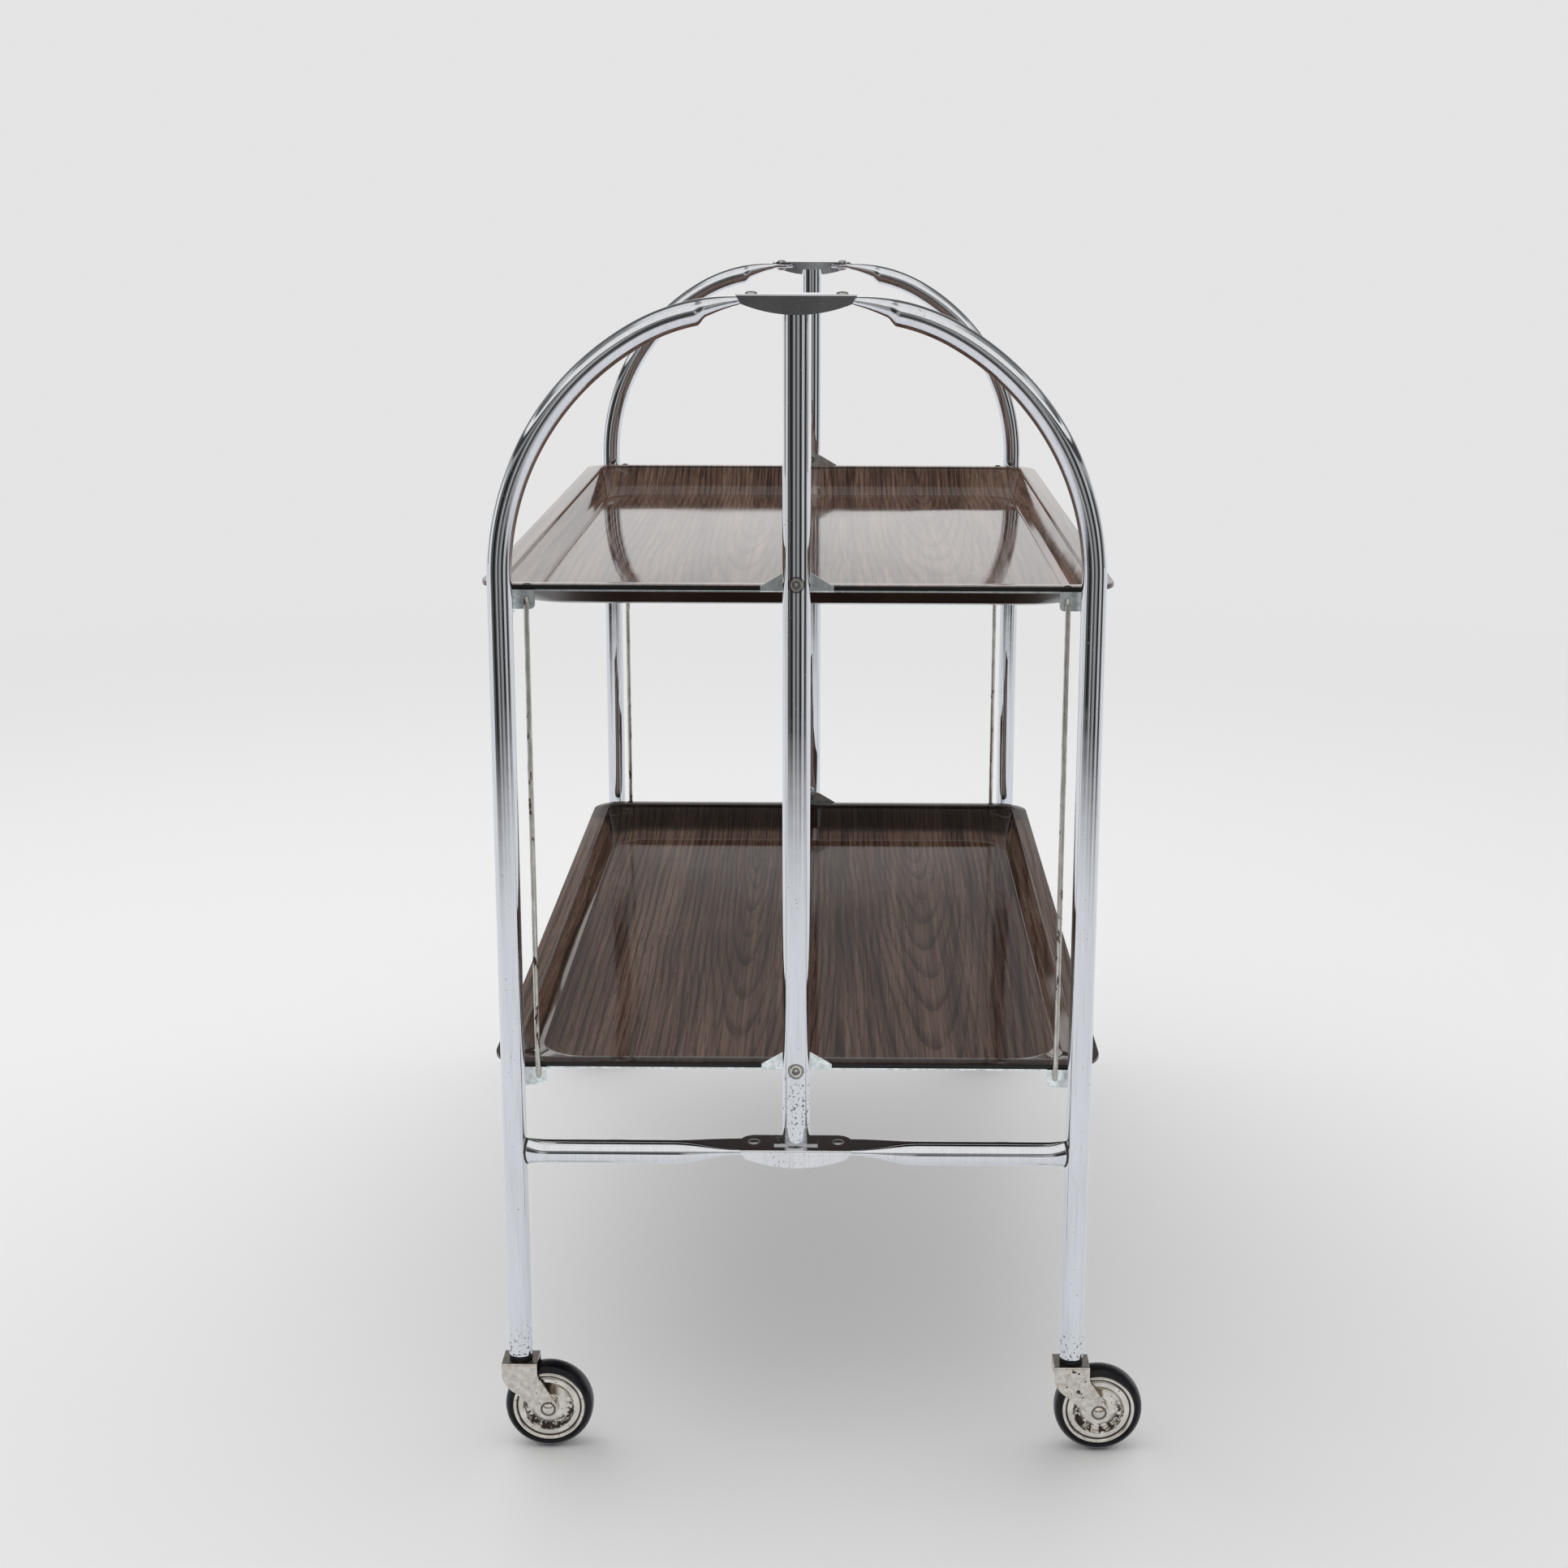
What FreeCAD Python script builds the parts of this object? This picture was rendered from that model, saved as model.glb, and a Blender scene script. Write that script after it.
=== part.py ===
import FreeCAD, Part
import math
import os

from FreeCAD import Vector

# Folding tea trolley with two tilting trays, in millimetres.
# X runs across, Y runs along, Z is up, and the floor is Z = 0 under the middle of the trolley.
# Each end is a fixed centre post between two crescent brackets. A wing, one bent tube with a
# flattened crossbar, hinges on rivets at each side of the post and stands on a swivel caster.
# Both trays tilt about pivots in the posts, and four upright link rods keep them parallel.
# The front end is modelled at negative Y, and the rear end is the front turned half a turn.

# ---- Driving dimensions ----
FRAME_SPACING = 760.0      # between the two end frames, post axis to post axis
LEG_SPACING = 375.0        # between the left and the right leg axis
TUBE_D = 16.0              # wing and crossbar tube
TUBE_WALL = 1.2
FLAT_THICK = 4.0           # tube pressed flat at a hinge
POST_D = 18.0
POST_WALL = 1.5

BRACKET_TOP_Z = 776.0      # upper face of the top bracket
LOW_BRACKET_Z = 221.0      # upper face of the bottom bracket
BRACKET_FRONT = 15.5       # post axis to the outer face of the crescent flange
BRACKET_BACK = 12.2        # post axis to the inner edge of the plate
BRACKET_SHEET = 1.2
BRACKET_CORNER_R = 10.0
CRESCENT_H = 12.4          # crescent flange at its middle
CRESCENT_END_H = 5.8       # crescent flange at its slanted ends
CRESCENT_SLANT = 3.0
INNER_FLANGE_W = 30.0
INNER_FLANGE_H = 6.7
INNER_FLANGE_SLANT = 2.0
HINGE_SPACING = 56.0       # between the two hinge rivets of a bracket
BRACKET_SIDE = 9.0         # hinge rivet to the end of its bracket
HINGE_PIN_D = 5.0
HINGE_HEAD_D = 8.0
HINGE_HEAD_H = 2.0

ARCH_OUTSET = 13.5         # middle of the trolley to the centre of an arch's circle
ARCH_SHORTFALL = 6.5       # by how much an arch rises less than its full circle would
FLAT_L = 10.0              # hinge rivet to where its tube is no longer fully flat
SQUASH_L = 26.0            # length over which a wing tube is pressed flat
CROSSBAR_SQUASH_L = 34.0
CROSSBAR_DROP = 7.5        # upper face of the bottom bracket to the crossbar axis

FOOT_W = 29.0              # pad brazed under the post
FOOT_L = 13.0
FOOT_H = 1.2

LOWER_PIVOT_RISE = 53.0    # bottom bracket to the lower tray pivot
PIVOT_SPACING = 323.0      # lower tray pivot to upper tray pivot
PIVOT_D = 5.0
PIVOT_HEAD_D = 7.0
PIVOT_HEAD_H = 0.9
PIVOT_RECESS_D = 3.0
PIVOT_SEAT_DEPTH = 0.8
PIVOT_TAIL_D = 7.0
PIVOT_TAIL_H = 1.4
SPACER_D = 10.0

TRAY_W = 410.0
TRAY_END_GAP = 20.0        # plane of an end frame to the end of a tray
TRAY_CORNER_R = 27.0
TRAY_LIP_W = 13.0
TRAY_LIP_T = 2.8
TRAY_EDGE_R = 0.9
TRAY_WALL = 2.5
TRAY_DEPTH = 20.0          # lip top to the floor of the tray
TRAY_STEP = 3.0            # upright step inside the lip
TRAY_BEND_DEPTH = 15.0     # where the end wall eases towards the floor
TRAY_BEND_CORNER_R = 36.0  # corner of the tray at that bend, seen from above
TRAY_FLOOR_CORNER_R = 38.0
TRAY_SIDE_RUN = 10.8       # side wall, lip to floor, seen from above
TRAY_END_RUN = 53.0        # end wall, lip to floor, seen from above
TRAY_END_BEND_RUN = 27.0   # end wall, lip to its bend
LIP_BELOW_PIVOT = 5.2

RAIL_SHEET = 1.2
RAIL_FLANGE_W = 5.4
RAIL_INSET = 21.0          # side of a tray to the end of its rails
TAB_BASE_W = 47.0          # raised pivot tab in the middle of a rail
TAB_TOP_W = 19.0
TAB_SHOULDER = 3.1         # tab shoulder above the pivot
TAB_CROWN = 5.0            # tab crown above the pivot
LINK_INSET = 32.0          # side of a tray to its link rods
LINK_BELOW_PIVOT = 14.0
CORNER_PLATE_IN = 5.2      # link hole to the inner edge of the corner plate
CORNER_PLATE_OUT = 9.8     # link hole to its outer edge
CORNER_PLATE_BELOW = 6.5   # link hole to its lower edge
CORNER_PLATE_R = 3.0
LUG_DROP = 3.5             # locking lug below the corner plate
LUG_L = 8.0
RAIL_RIVET_D = 3.0
RAIL_RIVET_HEAD_D = 5.5
RAIL_RIVET_TAIL_D = 4.5
RAIL_RIVET_HEAD_H = 0.8

ROD_D = 3.5
ROD_BEND_R = 2.4
ROD_TAIL = 4.0             # link rod end behind the corner plate
ROD_CAP_D = 6.0
ROD_CAP_H = 1.2

WHEEL_D = 60.0
TYRE_W = 17.0
TYRE_WALL = 5.3            # rim to tread
TYRE_BULGE = 1.0           # the tyre beside its rim
RIM_RING = 7.2             # flat ring of the disc, seen from the side
RIM_BEAD_L = 3.6           # rolled bead of the rim, seen from the side
RIM_BEAD_PROUD = 0.7       # bead beside the flat ring
RIM_GROOVE = 1.2
WEB_W = 7.0
WEB_EASE = 1.0             # slope from hub to web
DISH_EASE = 1.5            # slope from web to flat ring
HUB_D = 12.0
HUB_PROUD = 0.7            # hub end beside the tyre
TRAIL = 19.0               # leg axis to wheel axle
AXLE_D = 5.0
AXLE_HEAD_D = 8.4
AXLE_HEAD_H = 2.0
FORK_W = 24.0
FORK_RISE = 3.0            # top of the wheel to top of the fork
FORK_SHEET = 1.5
FORK_EYE_R = 6.3
FORK_WAIST_DROP = 8.0      # fork top to the end of its upright sides
FORK_HIP_DROP = 21.4       # fork top to the hollow side behind
FORK_BREAST_DROP = 13.2    # fork top to the full side over the wheel
FORK_BREAST_OUT = 2.6
STEM_D = 8.0
STEM_RISE = 28.0           # leg end to the top of the stem
STEM_HEAD_D = 12.0
STEM_HEAD_H = 1.3
SOCKET_RISE = 33.0         # leg end to the top of its bush
COLLAR_H = 4.0             # fork to leg end
COLLAR_INSET = 0.2         # leg surface to collar surface

# ---- Clearances ----
PIN_FIT = 0.05             # radial, round a pin that turns
LOOSE_FIT = 0.4            # radial, link rod in the lower rails
FACE_GAP = 0.3             # between faces that slide past each other
SPACER_GAP = 0.2
ROD_GAP = 0.7              # link rod in front of the rails

# ---- Derived places ----
HALF_L = FRAME_SPACING / 2
HALF_LEGS = LEG_SPACING / 2
TUBE_R = TUBE_D / 2
POST_R = POST_D / 2
HINGE_X = HINGE_SPACING / 2
FLAT_END_X = HINGE_X + FLAT_L
BRACKET_W = HINGE_SPACING + 2 * BRACKET_SIDE
TRAY_L = FRAME_SPACING - 2 * TRAY_END_GAP
LINK_X = TRAY_W / 2 - LINK_INSET
RAIL_HALF_L = TRAY_W / 2 - RAIL_INSET
FRAME_Y = -HALF_L                                  # plane of the front end frame
PLATE_FRONT_Y = FRAME_Y - BRACKET_FRONT
PLATE_BACK_Y = FRAME_Y + BRACKET_BACK
FLAT_HALF_T = FLAT_THICK / 2
FLAT_HALF_W = FLAT_HALF_T + math.pi * (TUBE_R - FLAT_HALF_T) / 2
TRAY_END_Y = -TRAY_L / 2
RAIL_FRONT_Y = TRAY_END_Y - RAIL_SHEET
ROD_Y = RAIL_FRONT_Y - ROD_GAP - ROD_D / 2
DISC_D = WHEEL_D - 2 * TYRE_WALL
DISH_D = DISC_D - 2 * RIM_RING
DISC_W = TYRE_W - 2 * TYRE_BULGE
HUB_W = TYRE_W + 2 * HUB_PROUD
FORK_DEPTH = HUB_W + 2 * (FACE_GAP + FORK_SHEET)
FORK_TOP_Z = WHEEL_D + FORK_RISE
FORK_UNDER_Z = FORK_TOP_Z - FORK_SHEET
LEG_BOTTOM_Z = FORK_TOP_Z + COLLAR_H
CROSSBAR_Z = LOW_BRACKET_Z - CROSSBAR_DROP
LOWER_PIVOT_Z = LOW_BRACKET_Z + LOWER_PIVOT_RISE
PIVOT_HEIGHTS = {"upper": LOWER_PIVOT_Z + PIVOT_SPACING, "lower": LOWER_PIVOT_Z}
BRACKET_HEIGHTS = {"top": BRACKET_TOP_Z, "bottom": LOW_BRACKET_Z}

UP = Vector(0, 0, 1)
ALONG = Vector(0, 1, 0)
ACROSS = Vector(1, 0, 0)


# ---- Helpers ----
def box(x0, x1, y0, y1, z0, z1):
    return Part.makeBox(x1 - x0, y1 - y0, z1 - z0, Vector(x0, y0, z0))


def pin(diameter, start, end):
    """A round bar between two points."""
    run = end - start
    return Part.makeCylinder(diameter / 2, run.Length, start, run)


def pin_z(diameter, x, y, z0, z1):
    return pin(diameter, Vector(x, y, z0), Vector(x, y, z1))


def pin_y(diameter, x, z, y0, y1):
    return pin(diameter, Vector(x, y0, z), Vector(x, y1, z))


def dome(diameter, height, base, direction):
    """A low rivet head: a slice of a ball on a flat base."""
    ball_r = ((diameter / 2) ** 2 + height ** 2) / (2 * height)
    ball = Part.makeSphere(ball_r, base + direction * (height - ball_r))
    return ball.common(pin(diameter, base, base + direction * height))


def plate_xz(edges, y0, y1):
    """A flat sheet: an outline in the XZ plane at y0, made thick up to y1."""
    return Part.Face(Part.Wire(edges)).extrude(Vector(0, y1 - y0, 0))


def chain(points):
    """Straight edges along a list of points."""
    return [Part.makeLine(a, b) for a, b in zip(points, points[1:])]


def arc(a, b, c):
    return Part.Arc(a, b, c).toShape()


def mirrored_x(shape):
    return shape.mirror(Vector(0, 0, 0), ACROSS)


def half_turn(shape):
    """The same piece at the rear end."""
    turned = shape.copy()
    turned.rotate(Vector(0, 0, 0), UP, 180)
    return turned


def both_ends(shape):
    return {"front": shape, "rear": half_turn(shape)}


parts = {}


def add(name, *solids):
    shape = solids[0] if len(solids) == 1 else Part.makeCompound(list(solids))
    parts[name] = shape


def add_at_corners(name, right, left):
    """One copy at each of the four corners. Turning the front swaps left and right."""
    add("front_right_" + name, right)
    add("front_left_" + name, left)
    add("rear_left_" + name, half_turn(right))
    add("rear_right_" + name, half_turn(left))


# ---- Posts, brackets and feet ----
def post():
    bottom = LOW_BRACKET_Z + FOOT_H
    top = BRACKET_TOP_Z - BRACKET_SHEET
    tube = pin_z(POST_D, 0, FRAME_Y, bottom, top)
    tube = tube.cut(pin_z(POST_D - 2 * POST_WALL, 0, FRAME_Y, bottom, top))
    for z in PIVOT_HEIGHTS.values():
        tube = tube.cut(pin_y(PIVOT_D, 0, z, FRAME_Y - POST_D, FRAME_Y + POST_D))
        seat_y = FRAME_Y - POST_R + PIVOT_SEAT_DEPTH
        tube = tube.cut(pin_y(PIVOT_HEAD_D, 0, z, FRAME_Y - POST_D, seat_y))
    return tube


def post_foot():
    half_w, half_l = FOOT_W / 2, FOOT_L / 2
    return box(-half_w, half_w, FRAME_Y - half_l, FRAME_Y + half_l, LOW_BRACKET_Z, LOW_BRACKET_Z + FOOT_H)


def bracket(top_z):
    """A pressed channel: plate, crescent flange outside and short flange inside."""
    half_w = BRACKET_W / 2
    plate = box(-half_w, half_w, PLATE_FRONT_Y, PLATE_BACK_Y, top_z - BRACKET_SHEET, top_z)
    corners = [e for e in plate.Edges
               if abs(e.CenterOfMass.y - PLATE_BACK_Y) < 0.01 and abs(abs(e.CenterOfMass.x) - half_w) < 0.01]
    plate = plate.makeFillet(BRACKET_CORNER_R, corners)
    end_x = half_w - CRESCENT_SLANT
    end_z = top_z - CRESCENT_END_H
    left, right = Vector(-end_x, PLATE_FRONT_Y, end_z), Vector(end_x, PLATE_FRONT_Y, end_z)
    left_top, right_top = Vector(-half_w, PLATE_FRONT_Y, top_z), Vector(half_w, PLATE_FRONT_Y, top_z)
    belly = arc(left, Vector(0, PLATE_FRONT_Y, top_z - CRESCENT_H), right)
    edges = [belly] + chain([right, right_top, left_top, left])
    crescent = plate_xz(edges, PLATE_FRONT_Y, PLATE_FRONT_Y + BRACKET_SHEET)
    flare = INNER_FLANGE_W / 2
    foot_x = flare - INNER_FLANGE_SLANT
    inner_y = PLATE_BACK_Y - BRACKET_SHEET
    low_z = top_z - INNER_FLANGE_H
    corners = [Vector(-flare, inner_y, top_z), Vector(flare, inner_y, top_z),
               Vector(foot_x, inner_y, low_z), Vector(-foot_x, inner_y, low_z), Vector(-flare, inner_y, top_z)]
    inner = plate_xz(chain(corners), inner_y, PLATE_BACK_Y)
    channel = plate.fuse([crescent, inner]).removeSplitter()
    fold = [e for e in channel.Edges
            if abs(e.CenterOfMass.y - PLATE_FRONT_Y) < 0.01 and abs(e.CenterOfMass.z - top_z) < 0.01]
    channel = channel.makeFillet(BRACKET_SHEET * 0.8, fold)
    for x in (-HINGE_X, HINGE_X):
        channel = channel.cut(pin_z(HINGE_PIN_D, x, FRAME_Y, top_z - 2 * BRACKET_SHEET, top_z + BRACKET_SHEET))
    return channel


def flat_top(bracket_z):
    """Upper face of a flattened tube end under its bracket plate."""
    return bracket_z - BRACKET_SHEET - FACE_GAP


def hinge_rivet(x, bracket_z):
    """Domed head on the plate, shank through plate and tube end, flat head below."""
    tail_top = flat_top(bracket_z) - FLAT_THICK - FACE_GAP
    shank = pin_z(HINGE_PIN_D, x, FRAME_Y, tail_top, bracket_z)
    head = dome(HINGE_HEAD_D, HINGE_HEAD_H, Vector(x, FRAME_Y, bracket_z), UP)
    tail = pin_z(HINGE_HEAD_D, x, FRAME_Y, tail_top - HINGE_HEAD_H, tail_top)
    return shank.fuse([head, tail]).removeSplitter()


# ---- Tray pivots on the posts ----
def tray_pivot(z):
    """Tubular rivet: flanged head in its seat, shank through the post, tail behind the rail tab."""
    seat_y = FRAME_Y - POST_R + PIVOT_SEAT_DEPTH
    tail_y = TRAY_END_Y + SPACER_GAP
    shank = pin_y(PIVOT_D, 0, z, seat_y, tail_y)
    head = pin_y(PIVOT_HEAD_D, 0, z, seat_y - PIVOT_HEAD_H, seat_y)
    tail = pin_y(PIVOT_TAIL_D, 0, z, tail_y, tail_y + PIVOT_TAIL_H)
    rivet = shank.fuse([head, tail]).removeSplitter()
    return rivet.cut(pin_y(PIVOT_RECESS_D, 0, z, seat_y - PIVOT_HEAD_H, seat_y + PIVOT_HEAD_H))


def pivot_spacer(z):
    """Collar between post and rail tab, its end hollowed to sit on the round post."""
    collar = pin_y(SPACER_D, 0, z, FRAME_Y, RAIL_FRONT_Y - SPACER_GAP)
    collar = collar.cut(pin_y(PIVOT_D, 0, z, FRAME_Y, RAIL_FRONT_Y))
    return collar.cut(pin_z(POST_D, 0, FRAME_Y, z - SPACER_D, z + SPACER_D))


# ---- Wings ----
def squashed_section(centre, flat_dir, half_t):
    """Tube outline pressed to a half thickness, its length round about kept.

    The tube runs in a plane of constant Y. flat_dir points from the centre to the flat side.
    The outline is two flats and two sides, which on a round tube are four quarters of a circle.
    """
    half_w = half_t + math.pi * (TUBE_R - half_t) / 2
    pressed = (TUBE_R - half_t) / (TUBE_R - FLAT_HALF_T)
    quarter = math.sqrt(0.5)
    high = half_t * (quarter + (1 - quarter) * pressed)
    wide = half_w * (quarter + (1 - FLAT_HALF_T / FLAT_HALF_W - quarter) * pressed)

    def at(across, up):
        return centre + ALONG * across + flat_dir * up

    corners = [at(wide, high), at(-wide, high), at(-wide, -high), at(wide, -high)]
    middles = [at(0, half_t), at(-half_w, 0), at(0, -half_t), at(half_w, 0)]
    edges = []
    for i, middle in enumerate(middles):
        start, stop = corners[i], corners[(i + 1) % 4]
        straight = pressed > 0.999 and i % 2 == 0
        edges.append(Part.makeLine(start, stop) if straight else arc(start, middle, stop))
    return Part.Wire(edges)


def eased(t):
    return t * t * (3 - 2 * t)


def hinge_tab(centre_z):
    """Flat end of a right-hand tube: a strip with a round nose about its rivet."""
    flat = Part.Face(squashed_section(Vector(FLAT_END_X, FRAME_Y, centre_z), UP, FLAT_HALF_T))
    strip = flat.extrude(ACROSS * (HINGE_X - FLAT_END_X))
    hub = Vector(HINGE_X, FRAME_Y, centre_z)
    top, low = hub + UP * FLAT_HALF_T, hub - UP * FLAT_HALF_T
    side = ALONG * (FLAT_HALF_W - FLAT_HALF_T)
    rim = arc(top + side, hub + ALONG * FLAT_HALF_W, low + side)
    half = chain([low + side, low, top, top + side]) + [rim]
    return strip.fuse(Part.Face(Part.Wire(half)).revolve(hub, UP, 180))


def hinge_hole(centre_z):
    return pin_z(HINGE_PIN_D + 2 * PIN_FIT, HINGE_X, FRAME_Y, centre_z - FLAT_THICK, centre_z + FLAT_THICK)


SQUASH_STEPS = 6


def wing_tube():
    """Leg and arch of the front right wing, one bent tube flattened at the top bracket."""
    flat_z = flat_top(BRACKET_TOP_Z) - FLAT_HALF_T
    # The tube is pressed from below only, so its upper side runs on smoothly into the flat end.
    end_z = flat_top(BRACKET_TOP_Z) - TUBE_R
    arch_r = HALF_LEGS - ARCH_OUTSET
    arch_z = end_z + ARCH_SHORTFALL - arch_r
    # The arch starts on the leg, then tightens so that it ends level at the bracket.
    run = FLAT_END_X - ARCH_OUTSET
    turn = math.pi / 2 - 2 * math.atan(ARCH_SHORTFALL / run)
    tight_r = arch_r - run / math.cos(turn)
    tight_c = Vector(FLAT_END_X, FRAME_Y, end_z - tight_r)
    squash_turn = math.acos(SQUASH_L / tight_r)
    arch_c = Vector(ARCH_OUTSET, FRAME_Y, arch_z)

    def round_run(radius):
        foot = Vector(HALF_LEGS, FRAME_Y, LEG_BOTTOM_Z)
        knee = Vector(HALF_LEGS, FRAME_Y, arch_z)
        leg = Part.makeCylinder(radius, arch_z - LEG_BOTTOM_Z, foot, UP)
        disc = Part.Face(Part.Wire(Part.makeCircle(radius, knee, UP)))
        arch = disc.revolve(arch_c, -ALONG, math.degrees(turn))
        bend = arch_c + Vector(math.cos(turn), 0, math.sin(turn)) * arch_r
        heading = Vector(-math.sin(turn), 0, math.cos(turn))
        disc = Part.Face(Part.Wire(Part.makeCircle(radius, bend, heading)))
        tight = disc.revolve(tight_c, -ALONG, math.degrees(squash_turn - turn))
        return leg.fuse([arch, tight])

    sections = []
    for step in range(SQUASH_STEPS + 1):
        t = step / SQUASH_STEPS
        angle = squash_turn + (math.pi / 2 - squash_turn) * t
        outward = Vector(math.cos(angle), 0, math.sin(angle))
        half_t = TUBE_R + (FLAT_HALF_T - TUBE_R) * eased(t)
        sections.append(squashed_section(tight_c + outward * (tight_r + TUBE_R - half_t), outward, half_t))
    squash = Part.makeLoft(sections, True, False)
    tube = round_run(TUBE_R).fuse([squash, hinge_tab(flat_z)]).removeSplitter()
    return tube.cut(round_run(TUBE_R - TUBE_WALL)).cut(hinge_hole(flat_z))


def crossbar():
    """Lower tube of the front right wing, saddled on the leg and flattened at the bottom bracket."""
    flat_z = flat_top(LOW_BRACKET_Z) - FLAT_HALF_T
    squash_x = FLAT_END_X + CROSSBAR_SQUASH_L
    outer_end = Vector(HALF_LEGS, FRAME_Y, CROSSBAR_Z)
    inner_end = Vector(squash_x, FRAME_Y, CROSSBAR_Z)
    sections = []
    for step in range(SQUASH_STEPS + 1):
        t = step / SQUASH_STEPS
        ease = eased(t)
        centre = Vector(squash_x - CROSSBAR_SQUASH_L * t, FRAME_Y, CROSSBAR_Z + (flat_z - CROSSBAR_Z) * ease)
        sections.append(squashed_section(centre, UP, TUBE_R + (FLAT_HALF_T - TUBE_R) * ease))
    squash = Part.makeLoft(sections, True, False)
    bar = pin(TUBE_D, inner_end, outer_end).fuse([squash, hinge_tab(flat_z)]).removeSplitter()
    bar = bar.cut(pin(TUBE_D - 2 * TUBE_WALL, inner_end, outer_end))
    leg = pin_z(TUBE_D, HALF_LEGS, FRAME_Y, CROSSBAR_Z - TUBE_D, CROSSBAR_Z + TUBE_D)
    return bar.cut(leg).cut(hinge_hole(flat_z))


# ---- Trays ----
def rounded_outline(half_x, half_y, radius, z):
    """A rectangle with round corners, always the same eight edges."""
    cx, cy = half_x - radius, half_y - radius
    diag = radius * math.sqrt(0.5)
    edges = []
    for sx, sy in ((1, 1), (-1, 1), (-1, -1), (1, -1)):
        side = Vector(sx * half_x, sy * cy, z)
        end = Vector(sx * cx, sy * half_y, z)
        middle = Vector(sx * (cx + diag), sy * (cy + diag), z)
        start, stop = (side, end) if sx * sy > 0 else (end, side)
        if edges:
            edges.append(Part.makeLine(edges[-1].Vertexes[-1].Point, start))
        edges.append(arc(start, middle, stop))
    edges.append(Part.makeLine(edges[-1].Vertexes[-1].Point, edges[0].Vertexes[0].Point))
    return Part.Wire(edges)


def offset_profile(points, wall):
    """The outer side of a wall: each (inward run, depth) point moved out by the wall thickness."""
    directions = []
    for (run0, deep0), (run1, deep1) in zip(points, points[1:]):
        length = math.hypot(run1 - run0, deep1 - deep0)
        directions.append(((run1 - run0) / length, (deep1 - deep0) / length))
    directions.append((1.0, 0.0))
    outer = []
    for (run, deep), before, after in zip(points[1:], directions, directions[1:]):
        # Each corner of the outer side lies on the line that halves the two wall directions.
        out0, out1 = (-before[1], before[0]), (-after[1], after[0])
        reach = wall / (1 + out0[0] * out1[0] + out0[1] * out1[1])
        outer.append((run + (out0[0] + out1[0]) * reach, deep + (out0[1] + out1[1]) * reach))
    # The first wall is carried up to the underside of the lip.
    first_run, first_deep = outer[0]
    slope = directions[0][0] / directions[0][1]
    outer.insert(0, (first_run - (first_deep - TRAY_LIP_T) * slope, TRAY_LIP_T))
    return outer


def tray(pivot_z):
    """A dished tray: flat lip, a small step, sloped walls and a flat floor."""
    top = pivot_z - LIP_BELOW_PIVOT
    lip_x, lip_y = TRAY_W / 2 - TRAY_LIP_W, TRAY_L / 2 - TRAY_LIP_W
    side_bend = TRAY_SIDE_RUN * (TRAY_BEND_DEPTH - TRAY_STEP) / (TRAY_DEPTH - TRAY_STEP)
    side_wall = [(0.0, TRAY_STEP), (side_bend, TRAY_BEND_DEPTH), (TRAY_SIDE_RUN, TRAY_DEPTH)]
    end_wall = [(0.0, TRAY_STEP), (TRAY_END_BEND_RUN, TRAY_BEND_DEPTH), (TRAY_END_RUN, TRAY_DEPTH)]
    side_outer = offset_profile(side_wall, TRAY_WALL)
    end_outer = offset_profile(end_wall, TRAY_WALL)

    corners = (TRAY_CORNER_R - TRAY_LIP_W, TRAY_BEND_CORNER_R, TRAY_FLOOR_CORNER_R)

    def outlines(sides, ends):
        return [rounded_outline(lip_x - side[0], lip_y - end[0], radius, top - (side[1] + end[1]) / 2)
                for side, end, radius in zip(sides, ends, corners)]

    hollow = [rounded_outline(lip_x, lip_y, corners[0], top + TRAY_LIP_T)] + outlines(side_wall, end_wall)
    bowl = outlines(side_outer, end_outer)
    lip = Part.Face(rounded_outline(TRAY_W / 2, TRAY_L / 2, TRAY_CORNER_R, top - TRAY_LIP_T))
    lip = lip.extrude(Vector(0, 0, TRAY_LIP_T))
    rim = [e for e in lip.Edges if e.BoundBox.ZLength < 0.01]
    lip = lip.makeFillet(TRAY_EDGE_R, rim)
    shell = lip.fuse(Part.makeLoft(bowl, True, True)).cut(Part.makeLoft(hollow, True, True))
    shell = shell.removeSplitter()
    for sx in (-1, 1):
        for sy in (-1, 1):
            x, y = sx * LINK_X, sy * rail_rivet_y()
            shell = shell.cut(pin_z(RAIL_RIVET_D, x, y, top - 2 * TRAY_LIP_T, top + TRAY_LIP_T))
    return shell


def rail_rivet_y():
    return TRAY_L / 2 - RAIL_FLANGE_W / 2


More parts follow.
